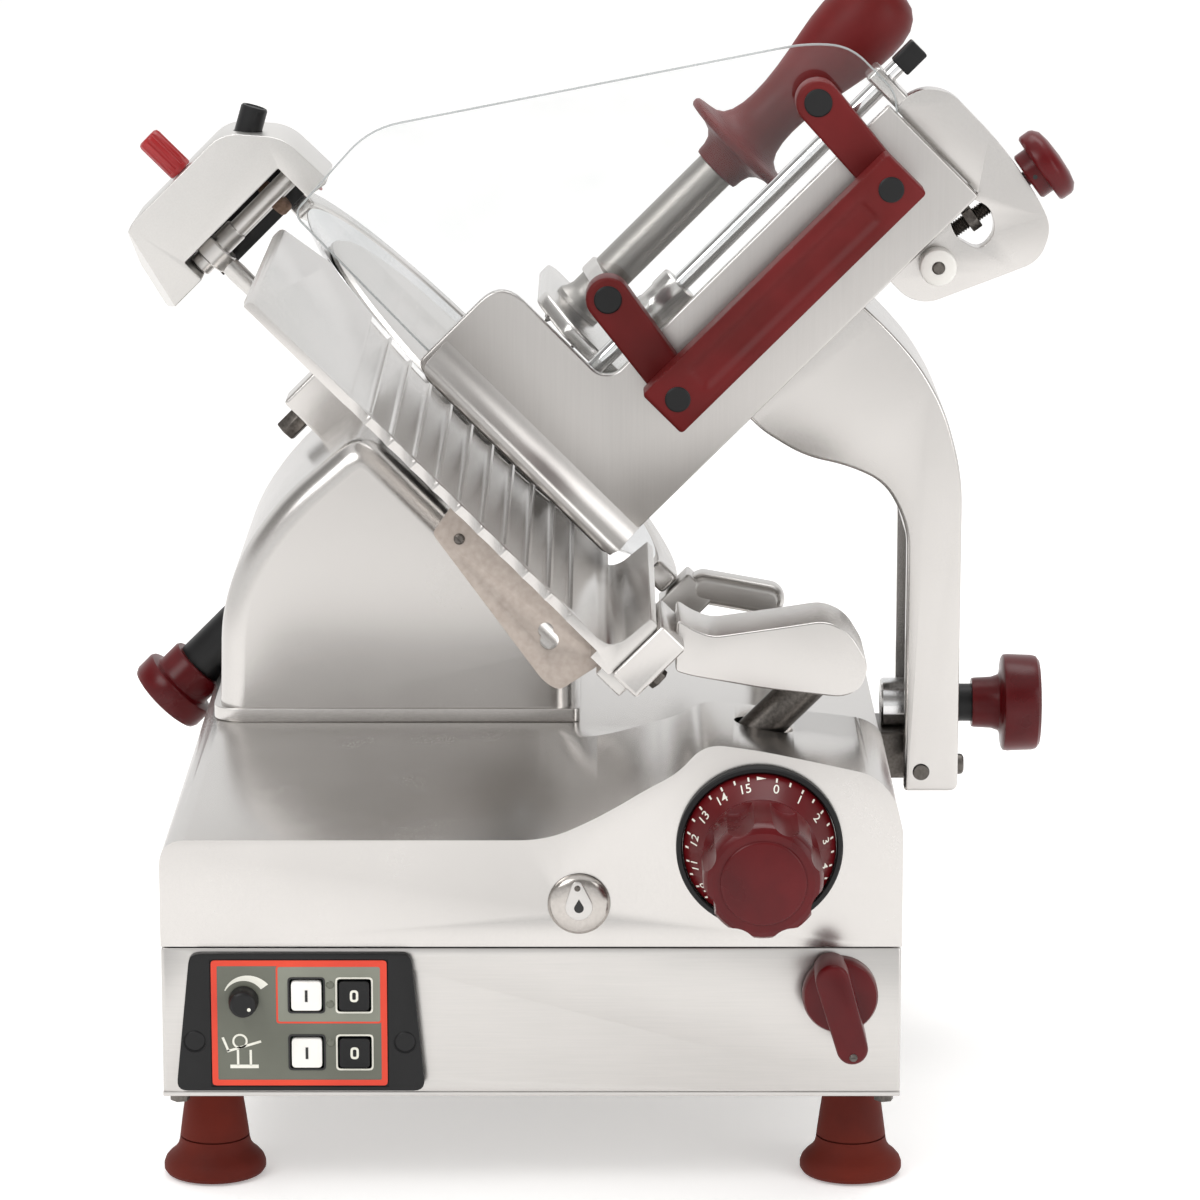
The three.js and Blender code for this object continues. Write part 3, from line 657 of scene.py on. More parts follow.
for i, (x, z) in enumerate([(-119.8, 133.5), (-119.8, 121.5), (-119.8, 97.5)]):
    lens = turned([(0, -6.5), (1.4, -6.35), (2.3, -6), (2.6, -5.6), (2.6, -5.2), (0, -5.2)], "y", x, z, 24)
    settle(lens, f"indicator_lens_{i}", "base", (lens_off, "black"))

# %% [markdown]
# ## Speed knob and its prints
# The small knob has a white index dot. A wedge that widens to the right says that the speed rises, and a
# simple drawing of a machine on a stand marks the powered feed.

# %% Speed knob and pictograms
knob = turned(
    [(0, -17), (6.4, -17), (7.6, -16.2), (8.4, -14), (9, -8), (9, -6.7), (0, -6.7)], "y", *SPEED_AXIS, 40
)
notch = turned([(8.9, -13.4), (9.6, -13.4), (9.6, -12.8), (8.9, -12.8)], "y", *SPEED_AXIS, 40)
settle(boolean(knob, notch), "speed_knob_cap", "speed_knob", BLACK, ["speed_knob"])
dot = turned([(0, -17.3), (1.1, -17.2), (1.1, -16.8), (0, -16.8)], "y", -167.6, 121.4, 20)
settle(dot, "speed_knob_dot", "speed_knob", CREAM_INK)
sweep = [(k, math.radians(150 - k * 8.2)) for k in range(15)]
rim_spots = [(13.2 + 0.34 * k, angle) for k, angle in sweep] + [(12.6, angle) for _, angle in sweep[::-1]]
wedge = [(-171.4 + r * math.cos(angle), 123.4 + r * math.sin(angle)) for r, angle in rim_spots]
print_layer("speed_wedge", wedge, PRINT_FRONT, PRINT_BACK, CREAM_INK)
pictogram = [
    ("stand_foot", box_line(-180, -163, 81.6, 83.8)), ("stand_left", box_line(-176, -174.6, 83.4, 93)),
    ("stand_right", box_line(-168.4, -167, 83.4, 93)),
    ("table", [(-181.5, 91.4), (-161.2, 97.6), (-161.6, 99), (-182, 92.8)]),
    ("plate", [(-181.6, 92), (-180.2, 92.4), (-183.6, 101), (-185, 100.6)]),
]
for name, line in pictogram:
    print_layer("feed_sign_" + name, line, PRINT_FRONT, PRINT_BACK, CREAM_INK)
outer, inner = circle_line(-174, 98.4, 4.6, 32), circle_line(-174, 98.4, 3.4, 32)
print_layer("feed_sign_blade", outer, PRINT_FRONT, PRINT_BACK, CREAM_INK, inner)

# %% [markdown]
# ## Oil cup
# A blued steel dome closes the oil hole. Its swinging teardrop cover is pressed sheet with a small screw, and
# a drop is stamped on it.

# %% Oil cup
dome = [(5.2, -5.6), (11, -5.2), (15.5, -4), (17.8, -2.2), (18.5, -0.4), (5.2, -0.4)]
settle(turned(dome, "y", *OIL_AXIS, 64), "oil_cup_dome", "base", (blued_steel, "dark_steel"), ["oil_cup"])
cover = slab(capsule_line(*OIL_AXIS, 8.2, 27.5, 194, 3.6, 12), "y", -7.9, -6.5)
round_edges(cover, 0.5, 3, 40)
settle(cover, "oil_cover_leaf", "oil_cover", SHEET, ["oil_cover"])
screw = turned([(0, -8.7), (1.2, -8.6), (1.8, -8.2), (1.9, -7.8), (0, -7.8)], "y", 27.6, 193.6, 24)
cut(screw, block(25, 30, -9, -8.3, 193.3, 193.9))
settle(screw, "oil_cover_screw", "oil_cover", (dark_steel, "stainless"))
drop = [(28.5, 187)] + circle_line(28.5, 181.4, 2.9, 18, math.radians(20), math.radians(-200))
print_layer("oil_drop", drop, -8.0, -7.8, (black_print, "stainless"), body="oil_cover")

# %% [markdown]
# ## Stroke lever
# A wine-red turning lever: a round base with a wedge-shaped pointer, moulded in one. The pointer is drawn as
# the belt round two circles and its far end carries a screw.

# %% Stroke lever
lever = turned(
    [(0, -15), (19, -15), (21.4, -14), (22.5, -11.5), (22.5, -1.6), (0, -1.6)], "y", 184, 128, 56
)
pointer = slab(capsule_line(178.4, 143.6, 10.2, 190.4, 101.6, 9.4, 16), "y", -33, -4)
inset(pointer, faces_operator, 2.2, 1.0)
round_edges(pointer, 1.6, 3, 25)
round_edges(union(lever, pointer), 0.8, 2, 50)
settle(lever, "stroke_lever_grip", "stroke_lever", DIAL_RED, ["stroke_lever"])
screw = turned([(0, -35), (1.8, -34.8), (2.4, -34.2), (2.4, -32), (0, -32)], "y", 191, 97, 24)
cut(screw, block(187, 195, -36, -34.5, 96.7, 97.3))
settle(screw, "stroke_lever_screw", "stroke_lever", (dark_steel, "wine_red"))

# %% [markdown]
# ## Thickness dial
# The dial has a cone with printed ticks and numbers, and a lobed grip that stands out from it. The grip's
# eight finger hollows are each cut by a round bar that stands beside it, and a flat disc closes its front.

# %% Dial body
DIAL_AXIS = DIAL_X, DIAL_Z = 135.5, 218
LOBES = 8
bezel = turned(
    [(45.9, -6.4), (46.6, -7), (48.6, -7), (49.5, -6), (49.5, -0.4), (45.9, -0.4)], "y", *DIAL_AXIS, 96
)
settle(bezel, "dial_bezel_ring", "base", BLACK, ["dial_bezel"])
cone_profile = [
    (0, -24), (33, -24), (34.2, -23.4), (35, -22), (44.4, -6.4), (45.4, -4.6), (45.4, -1.6), (0, -1.6)
]
cone = turned(cone_profile, "y", *DIAL_AXIS, 96)
grip_profile = [
    (0, -20), (33.6, -20), (34.6, -28), (35, -40), (35, -73), (34.4, -78), (32.6, -81.4), (29.6, -83),
    (0, -83)
]
grip = turned(grip_profile, "y", *DIAL_AXIS, 96)
for u, v in circle_line(*DIAL_AXIS, 43.2, LOBES, math.pi / LOBES, math.pi / LOBES + 2 * math.pi):
    cut(grip, shaft("y", 12.5, -90, -25.5, u, v, 6))
round_edges(grip, 1.5, 3, 28)
front_disc = turned(
    [(0, -84.4), (23.6, -84.4), (24.8, -84), (25.4, -82.6), (25.4, -80), (0, -80)], "y", *DIAL_AXIS, 96
)
settle(cone, "dial_cone", "dial", DIAL_RED, ["thickness_dial"])
settle(grip, "dial_grip", "dial", DIAL_RED)
settle(front_disc, "dial_front_disc", "dial", DIAL_RED, angle=50)

# %% [markdown]
# Ticks and numbers lie on the cone. For each one a little frame is worked out from three directions: along
# the rim, up the cone's slope, and out of its surface.

# %% Dial prints
SLOPE_RUN, SLOPE_RISE = 9.4, 15.6
slant = math.hypot(SLOPE_RUN, SLOPE_RISE)


def on_cone(clockwise_degrees, share):
    angle = math.radians(90 - clockwise_degrees)
    radial = Vector((math.cos(angle), 0, math.sin(angle)))
    up = (radial * SLOPE_RUN + Vector((0, 1, 0)) * SLOPE_RISE) / slant
    out = (radial * SLOPE_RISE - Vector((0, 1, 0)) * SLOPE_RUN) / slant
    right = up.cross(out)
    radius = 35 + SLOPE_RUN * share
    middle = Vector((DIAL_X, -22 + SLOPE_RISE * share, DIAL_Z))
    spot = middle + radial * radius + out * 0.05
    return Matrix.Translation(spot) @ Matrix((right, up, out)).transposed().to_4x4()


FIRST_NUMBER, NUMBER_STEP, NUMBER_STRETCH = 13.7, (360 - 27) / 15, 1.35
TICK_START, TICK_STEP = 1.9, 11.25
ticks = []
for k in range(1, 32):
    tick = block(-0.55, 0.55, -1.7, 1.7, -0.05, 0.12)
    ticks.append(place(tick, on_cone(TICK_START + TICK_STEP * k, 0.85)))
numbers = []
for value in range(16):
    degrees = FIRST_NUMBER + NUMBER_STEP * value
    deselect_all()
    bpy.ops.object.text_add()
    digit = bpy.context.object
    digit.data.body, digit.data.size = str(value), 7.8
    digit.data.align_x, digit.data.align_y = "CENTER", "CENTER"
    digit.data.extrude, digit.data.offset = 0.06, 0.014
    digit.data.resolution_u = 3
    bpy.ops.object.convert(target="MESH")
    digit.matrix_world = Matrix.Diagonal((1, NUMBER_STRETCH, 1, 1))
    apply_transform()
    numbers.append(place(digit, on_cone(degrees, 0.44)))
arrow = slab([(-2.8, -1.5), (2.8, 0), (-2.8, 1.5)], "z", -0.05, 0.12)
numbers.append(place(arrow, on_cone(1, 0.86)))
settle(join_all(ticks), "dial_ticks", "dial", (cream_print, "wine_red"))
settle(join_all(numbers), "dial_numbers", "dial", (cream_print, "wine_red"))

# %% [markdown]
# ## Motor housing
# A hollow casting that stands behind the gauge plate and leans with the blade. Its outline is extruded and
# the front and back edges get a wide, soft round, which carries the long bright highlight.

# %% Motor housing
housing_line = [
    (25, 180), (25, 276, 8), (-112, 413, 22), (-166, 366, 40), (-192, 330, 30), (-205, 292, 36), (-208, 180)
]
housing = slab(rounded(housing_line), "y", 295, 525)
modify(housing, "BEVEL", width=17, segments=7, limit_method="ANGLE", angle_limit=math.radians(60))
cut(housing, block(-230, 40, 280, 540, 170, 221.4))
boss_profile = [(0, 200), (50, 200), (47, 208), (46, 214), (46, 231), (45, 232), (0, 232)]
union(housing, lean_down(turned(boss_profile, "z", *BLADE_AXIS, 64)))
cut(housing,
    lean_down(shaft("z", 24.2, 180, 260, *BLADE_AXIS)),
    lean_down(shaft("z", 17.6, -60, 120, *BLADE_AXIS)),
    block(-200, 17, 304, 516, 215, 262),
)
settle(housing, "housing_shell", "base", CAST, ["motor_housing"], angle=40)
skirt = slab(rounded([(-211, 292, 20), (28, 292, 6), (28, 528, 6), (-211, 528, 20)]), "z", 221.1, 230)
cut(skirt, block(-198, 15, 306, 514, 215, 240))
round_edges(skirt, 4.4, 6, 50)
settle(skirt, "housing_skirt", "base", CAST)
lug = slab(rounded([(-408, 166, 3), (-408, 214, 3), (-362, 214), (-362, 166)]), "y", 435, 466)
settle(round_edges(lug, 2.4, 3), "housing_lug", "base", CAST, (), True)
nut = slab(hexagon(-392, 451, 8.2, 0.3), "z", 150, 166.2)
settle(round_edges(nut, 0.9, 2), "housing_lug_nut", "base", DARK, (), True)

# %% [markdown]
# ## Gauge plate
# The food slides over this plate. It is an aluminium casting with ten milled flutes that keep wet meat from
# sticking, so each flute is a shallow pocket with round ends. One cutter is modelled and repeated by an
# array, and so is the round one that scallops the edge between the flutes.

# %% Gauge plate
section = [
    (-498, 256, 4), (-498, 267, 4), (-212, 267, 2), (-203, 269, 5), (-199, 276, 6), (-197, 297.6, 1),
    (-191, 297.6, 2), (-190.4, 292), (-190.4, 256, 2),
]
plate = slab(rounded(section, 5), "y", 25.4, 371.6)
cut(plate, shaft("z", 169, 200, 320, *BLADE_AXIS, 0.1, 128), block(-204, -180, 250, 400, 200, 320))
corner = slab([(-506, 312), (-438, 380), (-506, 380)], "z", 200, 320)
cut(plate, corner)
FLUTES, FLUTE_PITCH = 10, 18.6


def row_of(piece):
    modify(
        piece, "ARRAY", count=FLUTES, use_relative_offset=False, use_constant_offset=True,
        constant_offset_displace=(FLUTE_PITCH, 0, 0)
    )
    return piece


flute = slab(rounded([(-8.4, 33, 5), (8.4, 33, 5), (8.4, 392, 4), (-8.4, 392, 4)], 6), "z", 263.6, 270)
activate(flute)
flute.location.x = -408
bpy.ops.object.transform_apply(location=True, rotation=False, scale=False)
modify(flute, "BEVEL", width=2.6, segments=4, limit_method="ANGLE", angle_limit=math.radians(50))
scallop = shaft("z", 20, 240, 290, -407.9, 7.6, 0.1, 64)
cut(plate, row_of(flute), block(-520, -206, 10, 62, 250, 261.4), row_of(scallop))
round_edges(plate, 1.5, 3, 35)
settle(plate, "gauge_plate_casting", "gauge", CAST, ["gauge_plate"], True, 45)

# %% [markdown]
# ## Gauge arm, shaft and clamp
# The plate hangs on a cast arm that rides up and down on a steel shaft. The arm is a thick, rounded casting,
# and a clamp block with a hexagon bolt grips the plate's lower end.

# %% Gauge arm
arm_line = [
    (86, 314, 3), (87, 346, 4), (96, 340, 4), (108, 335, 14), (150, 341, 20), (176, 345, 12), (190, 338, 10),
    (202, 318, 9), (197, 303, 8), (186, 298, 8), (141, 303, 10), (96, 311, 6),
]
arm = slab(rounded(arm_line), "y", 42, 98)
round_edges(arm, 9, 6, 50)
cut(arm, lean_down(shaft("z", 12.6, 250, 345.4, *GAUGE_AXIS, 0.1)))
settle(arm, "gauge_arm_casting", "gauge", CAST, ["gauge_arm"], angle=45)
grip_block = block(-189.9, -170, 20, 98, 258, 300)
inset(grip_block, faces_operator, 3, -1.2)
round_edges(grip_block, 2, 3, 40)
settle(grip_block, "gauge_clamp_block", "gauge", CAST, (), True)
hex_screw("gauge_clamp_bolt", "x", 7, -170, -163, 45, 272, "gauge", True)
for i, y in enumerate((30, 60)):
    pad = round_edges(block(-196, -176, y, y + 20, 250, 259), 1.4, 3)
    settle(pad, f"gauge_clamp_pad_{i}", "gauge", SHEET, (), True)
rod = shaft("z", 11.9, 178, 344.6, *GAUGE_AXIS, 1.2, 64)
settle(rod, "gauge_shaft_rod", "gauge", DARK, ["gauge_shaft"], True)

# %% [markdown]
# ## Slice deflector
# A bent stainless sheet under the plate guides each slice down. It has a screw at the top and a keyhole slot.

# %% Slice deflector
sheet_line = [(-325, 261), (-321, 237, 4), (-210, 219.6, 6), (-199, 222, 5), (-192, 255.6), (-206, 261)]
sheet = slab(rounded(sheet_line), "y", 60.2, 61.8)
for s, n, radius in [(-225, 240, 5.6), (-231, 243, 4.6)]:
    cut(sheet, shaft("y", radius, 50, 72, s, n, 0.1, 32))
round_edges(sheet, 0.3, 2, 40)
settle(sheet, "slice_deflector_sheet", "gauge", (worn_sheet, "stainless"), ["slice_deflector"], True)
screw = turned([(0, 57.8), (2.2, 58), (3.2, 58.8), (3.4, 60.2), (0, 60.2)], "y", -307, 246, 24)
cut(screw, block(-312, -302, 56, 58.5, 245.6, 246.4))
settle(screw, "slice_deflector_screw", "gauge", (dark_steel, "stainless"), (), True)

# %% [markdown]
# ## Blade, cover and ring guard
# The blade is a dished disc of hardened chrome steel, ground to a bright bevel at its rim. Its profile is
# spun, so the bevel is a true cone. The cover plate sits in the middle, and the ring guard wraps the far rim.

# %% Blade
edge_profile = [
    (21, 256.6), (140, 256.6), (150, 259), (161, 263), (164.8, 266.2), (164.6, 266.6), (150, 262.6),
    (141, 259.4), (21, 259.4),
]
disc = turned(edge_profile, "z", *BLADE_AXIS, 144)
settle(disc, "blade_disc", "blade", (ground_steel, "chrome"), ["blade"], True, 12)
cover_profile = [
    (0, 260.1), (136.5, 260.1), (138.4, 261.4), (138, 263.4), (135.4, 265.8), (131, 266.3), (70, 266.3),
    (66, 265.5), (14, 265.5), (12, 264.6), (0, 264.6),
]
plate_cover = turned(cover_profile, "z", *BLADE_AXIS, 128)
settle(plate_cover, "blade_cover_plate", "base", SHEET, ["blade_cover"], True, 20)
start, end = -0.12, math.pi - 0.26
band = circle_line(*BLADE_AXIS, 186, 72, start, end) + circle_line(*BLADE_AXIS, 168, 72, start, end)[::-1]
ring = round_edges(slab(band, "z", 252.1, 267.9), 3.2, 4, 50)
settle(ring, "ring_guard_casting", "base", CAST, ["ring_guard"], True)
stay = slab(capsule_line(111, 278, 11, 155, 270, 11), "y", 434.2, 455.8)
round_edges(stay, 6.5, 6, 50)
settle(stay, "ring_stay_link", "base", SHEET, ["ring_stay"])
stay_block = round_edges(block(-133.4, -108, 434.4, 461.6, 246.3, 275.7), 2.2, 3)
settle(stay_block, "ring_stay_block", "base", SHEET, (), True)
stay_post = turned(
    [(0, 225.4), (12, 225.4), (12, 228.5), (8, 229.5), (8, 268), (0, 268)], "z", 153, 445, 40
)
settle(stay_post, "ring_stay_post", "base", SHEET)

# %% [markdown]
# ## Sharpener
# The sharpener hangs over the blade's top edge: a C-shaped casting that holds a stone on each side of the
# blade, with a red knob to lower it and a black button to press. Its lower end is cut to a long facet.

# %% Sharpener housing
c_line = [
    (-564, 268, 12), (-564, 178, 8), (-532, 150, 4), (-505, 147, 4), (-505, 189, 1), (-521, 189, 1),
    (-521, 278, 1), (-494, 278, 1), (-491, 296, 5), (-533, 295, 12),
]
head = slab(rounded(c_line), "y", 425.2, 499.8)
round_edges(head, 3.4, 4, 50)
cut(head, shaft("z", 14.8, 196, 214, *SPINDLE_AXIS, 0.1))
facet = block(-70, 70, -90, 90, -60, 0)
facet_normal = Vector((0.232, 0.213, 0.949))
facet_turn = facet_normal.rotation_difference(Vector((0, 0, 1))).inverted().to_matrix().to_4x4()
place(facet, Matrix.Translation((-535, 460, 163)) @ facet_turn)
cut(head, facet, shaft("x", 4.6, -570, -552, 450, 228))
button_place = Matrix.Translation((-193, 450, 587)) @ Matrix.Rotation(0.28, 4, "Y")
well = place(shaft("z", 9.6, -16, 20, 0, 0), button_place)
cut(lean_down(head), well)
settle(head, "sharpener_casting", "base", (blasted_casting, "cast_aluminium"), ["sharpener_housing"])
axle = shaft("z", 4, 185, 282, *STONE_AXIS, 0.3)
settle(axle, "sharpener_stone_axle", "base", SHEET, (), True)
liner = round_edges(block(-520.6, -493, 494.2, 499, 190, 277.4), 0.6, 2)
settle(liner, "sharpener_liner", "base", BLACK, (), True)
badge = slab(circle_line(0, 0, 1, 40), "z", 0, 0.3)
tilt = Matrix.Rotation(math.pi / 4, 4, "Y")
place(badge, Matrix.Translation((-151.2, 462, 552.2)) @ tilt @ Matrix.Diagonal((9, 14, 1, 1)))
settle(badge, "sharpener_badge", "base", SIGNAL)

# %% Sharpener controls
push = turned([(0, -9), (9, -9), (9, 15.6), (8.2, 16.8), (6.6, 17), (6.2, 16.2), (0, 16)], "z", 0, 0, 48)
settle(place(push, button_place), "sharpener_push", "sharpener_button", BLACK, ["sharpener_button"])
red_knob = turned(
    [(0, -596), (6.4, -596), (8.0, -595), (8.5, -593), (8.5, -566), (7.8, -564.5), (4, -564.5), (4, -554.2),
     (0, -554.2)], "x", 450, 228, 60
)
for u, v in circle_line(450, 228, 9.1, 10):
    cut(red_knob, shaft("x", 1.5, -600, -568, u, v, 0.1, 16))
round_edges(red_knob, 0.35, 2, 35)
settle(red_knob, "sharpener_red_knob", "sharpener_knob", SIGNAL, ["sharpener_knob"], True)
spindle = turned(
    [(0, 189.6), (6.6, 189.6), (8, 191), (8, 225), (7.4, 226), (6.1, 226.4), (6, 277.5), (0, 277.5)],
    "z", *SPINDLE_AXIS, 48
)
settle(spindle, "sharpener_spindle_rod", "base", SHEET, ["sharpener_spindle"], True)
eye = turned(
    [(8.4, 198.4), (13.2, 198.4), (14, 199.4), (14, 210.6), (13.2, 211.6), (8.4, 211.6)],
    "z", *SPINDLE_AXIS, 48
)
settle(eye, "sharpener_eye", "base", SHEET, ["sharpener_arm"], True)
swing_arm = turned(
    [(0, -498.5), (6.2, -498.5), (6.8, -490), (6.2, -470), (6.8, -450), (6.8, -409), (0, -409)],
    "x", 450, 205, 36
)
settle(swing_arm, "sharpener_arm_bar", "base", SHEET, (), True)
for node, low, high in [("grinding_stone", 194, 205), ("honing_stone", 250, 259)]:
    stone = turned(
        [(4.3, low + 0.2), (11.6, low + 0.2), (12.9, low + 1.8), (12.9, high - 1.8), (11.6, high - 0.2),
         (4.3, high - 0.2)], "z", *STONE_AXIS, 48
    )
    settle(stone, node + "_wheel", node, (corundum, "stone"), [node], True)

# %% [markdown]
# ## Product tray
# The tray is folded from thick stainless sheet: a front wall at right angles to the blade, and a floor whose
# far edge turns up into a lip. Along its lower edge the front wall flares out in a soft, rolled scoop.

# %% Product tray
front_line = [
    (-380, 276, 5), (-380, 350, 20), (-294, 350, 6), (-286, 358, 5), (-286, 600, 2), (-205, 600, 2),
    (-205, 272.4, 7), (-374, 272.4, 4),
]
wall = slab(rounded(front_line), "y", 262.1, 270)
round_edges(wall, 2.4, 4, 50)
settle(wall, "tray_front_wall", "carriage", TRAY_SHEET, ["product_tray"], True)
floor_line = [
    (-205, 262.4, 2), (-205, 494.8, 5), (-245, 494.8, 2), (-245, 487.2, 2), (-213, 487.2, 4),
    (-213, 262.4, 2)
]
floor_sheet = round_edges(slab(rounded(floor_line), "z", 272.2, 599.8), 1.6, 3, 50)
settle(floor_sheet, "tray_floor", "carriage", TRAY_SHEET, (), True)
scoop_line = [
    (262.6, 300), (261.4, 295), (259, 289.6), (255.8, 285.2), (252.6, 281.8), (250.6, 279.4), (250, 276.8),
    (250.2, 274.2), (251.6, 272.6), (254, 272.2), (262, 272.2), (265, 274), (265, 300),
]
scoop = slab(scoop_line, "x", -377, -205)
corners = slab(
    rounded([(-378, 272, 14), (-204.8, 272, 16), (-204.8, 301, 4), (-378, 301, 10)], 10), "y", 245, 270
)
boolean(scoop, corners, "INTERSECT")
round_edges(scoop, 1.6, 4, 40)
settle(scoop, "tray_scoop", "carriage", TRAY_SHEET, (), True, 40)
rod_boss = turned(
    [(0, 320.4), (9, 320.4), (10, 321.6), (10, 334), (8, 338), (0, 338)], "z", *ROD_AXIS, 48
)
settle(rod_boss, "tray_rod_boss", "carriage", CAST, (), True)
rod_foot = round_edges(block(-302, -286, 269, 300, 322, 334), 2, 3)
settle(rod_foot, "tray_rod_foot", "carriage", CAST, (), True)

# %% [markdown]
# ## Clear guard
# A sheet of 4 mm polycarbonate, cut to shape. Its edge and a narrow rim beside it are paler than the sheet,
# so the outline shows where the sheet itself is clear.

# %% Clear guard
guard_line = [
    (-391, 283, 6), (-502, 285, 8), (-506, 358, 20), (-350, 590, 16), (-329, 609, 18), (-288, 609, 8),
    (-270, 594, 6), (-270, 342), (-372, 342), (-372, 283),
]
guard = slab(rounded(guard_line), "y", 270.4, 274.6)
inset(guard, flat_sides, 1.1)
round_edges(guard, 0.6, 2, 50)
settle(guard, "clear_guard_sheet", "carriage", (clear_sheet, "clear_sheet"), ["clear_guard"], True)
guard.data.materials.append(edge_sheet)
for face in guard.data.polygons:
    face.material_index = 0 if face.area > 0.01 else 1

# %% [markdown]
# ## Carriage handle
# A D-shaped handle, moulded in wine-red nylon: two tapered arms run from the tray to a straight grip with a
# long finger recess. Black plugs close the four screw holes.

# %% Carriage handle
for name, far, near in [("low", (-326, 391), (-256, 381)), ("high", (-321, 571), (-255, 566))]:
    arm_piece = slab(capsule_line(*far, 14, *near, 12.4, 20), "y", 238.2, 261.6)
    round_edges(arm_piece, 2.2, 3, 50)
    settle(arm_piece, f"handle_arm_{name}", "carriage", WINE, (), True, 40)
    low, high = (369, 396) if name == "low" else (552, 579)
    foot_piece = round_edges(block(-270, -239, 229, 261.6, low, high), 2.4, 3)
    settle(foot_piece, f"handle_foot_{name}", "carriage", WINE, (), True)
    plug = turned([(0, 237.1), (8.0, 237.1), (8.8, 237.7), (8.8, 240), (0, 240)], "y", *far, 40)
    settle(plug, f"handle_plug_{name}", "carriage", BLACK, (), True)
    stand = turned([(0, 261), (10, 261), (10, 270), (0, 270)], "y", *far, 40)
    settle(stand, f"handle_pad_{name}", "carriage", WINE, (), True)
bar_grip = block(-272, -237, 206.2, 231.8, 367, 581)
pick_faces(bar_grip, faces_operator)
edit(
    bar_grip,
    lambda: bpy.ops.mesh.inset(thickness=7.5, depth=0),
    lambda: bpy.ops.transform.resize(value=(1, 1, 0.78), center_override=(-254.5, 206.2, 474)),
    lambda: bpy.ops.mesh.inset(thickness=4.5, depth=-3.4),
)
round_edges(bar_grip, 2.6, 4, 12)
settle(bar_grip, "handle_grip", "carriage", WINE, ["carriage_handle"], True, 40)
for i, n in enumerate((381, 567)):
    plug = turned([(0, 205.2), (7.2, 205.2), (8, 205.7), (8, 208), (0, 208)], "y", -254.5, n, 40)
    settle(plug, f"grip_plug_{i}", "carriage", BLACK, (), True)

# %% [markdown]
# ## Pusher
# The pusher holds the end of the food. A toothed cast plate hangs on a bright tube, and a turned handle with
# a hand guard and a pear-shaped end sits on top. A sleeve slides the whole of it along a chromed rod.

# %% Pusher
rail = shaft("z", 5.9, 338.4, 622, *ROD_AXIS, 0.6, 48)
settle(rail, "pusher_rod_bar", "carriage", (chrome_plate, "chrome"), ["pusher_rod"], True)
rod_cap = slab(rounded([(-301, 293, 2), (-287, 293, 2), (-287, 307, 2), (-301, 307, 2)]), "z", 620, 637.8)
round_edges(rod_cap, 1.2, 3)
settle(rod_cap, "pusher_rod_cap", "carriage", BLACK, (), True)
sleeve = turned(
    [(6.4, 374.4), (9.8, 374.4), (10.4, 375), (10.4, 388.2), (12, 388.2), (13, 389.2), (13, 400),
     (12.2, 401.5), (12.2, 411), (13, 412.5), (13, 423.8), (12, 424.8), (6.4, 424.8)], "z", *ROD_AXIS, 56
)
settle(sleeve, "pusher_sleeve_tube", "pusher_sleeve", CAST, ["pusher_sleeve"], True)
food_line = [(-222, 316, 10), (-322, 316, 6), (-346, 345, 8), (-346, 478, 16), (-222, 478, 10)]
food_plate = slab(rounded(food_line), "z", 345, 355)
round_edges(food_plate, 2.2, 3, 50)
settle(food_plate, "pusher_food_plate", "pusher", CAST, ["pusher_plate"], True)
teeth = []
for i in range(5):
    for j in range(7):
        deselect_all()
        bpy.ops.mesh.primitive_cone_add(
            vertices=4, radius1=4.2, radius2=0.5, depth=5.4, location=(-334 + 24 * i, 334 + 21 * j, 343.9),
            rotation=(math.pi, 0, math.pi / 4)
        )
        tooth = bpy.context.object
        apply_transform()
        teeth.append(round_edges(tooth, 0.3, 2, 30))
settle(join_all(teeth), "pusher_teeth", "pusher", CAST, (), True)
tube_profile = [(0, 354), (17, 354), (17, 358), (15, 361), (13.5, 366), (13.5, 483.8), (0, 483.8)]
tube_piece = turned(tube_profile, "z", *PUSHER_AXIS, 64)
settle(tube_piece, "pusher_tube", "pusher", (tube_sheet, "cast_aluminium"), (), True)
link = slab(capsule_line(*ROD_AXIS, 14.5, *PUSHER_AXIS, 16, 20), "z", 375.2, 387.4)
cut(link, shaft("z", 10.8, 360, 400, *ROD_AXIS, 0.1))
round_edges(link, 1.8, 3, 50)
settle(link, "pusher_link", "pusher", CAST, (), True)
handle_profile = [
    (0, 484.4), (16.4, 484.4), (17, 486), (17.4, 491), (19, 496), (22.6, 499.6), (29, 502), (38, 503.2),
    (41, 503.8), (42, 505.4), (42, 507.6), (41, 509), (35, 510), (28, 511.6), (23.4, 514.6), (20.4, 520),
    (18.6, 528), (18, 537), (18.4, 548), (19.8, 560), (22, 573), (24.6, 586), (26.8, 598), (28.2, 610),
    (28.5, 619), (27.8, 629), (25.6, 637.6), (21.6, 644), (15.6, 648.6), (8, 650.6), (0, 651),
]
pear = turned(handle_profile, "z", *PUSHER_AXIS, 96)
settle(pear, "pusher_pear_handle", "pusher", WINE, ["pusher_handle"], True, 50)

# %% [markdown]
# ## End bracket
# A cast plate at the tray's top end carries a stop screw with a red knob, and a nylon roller. The
# plate is a flat outline with a window, through which the threaded screw and its nut can be seen.

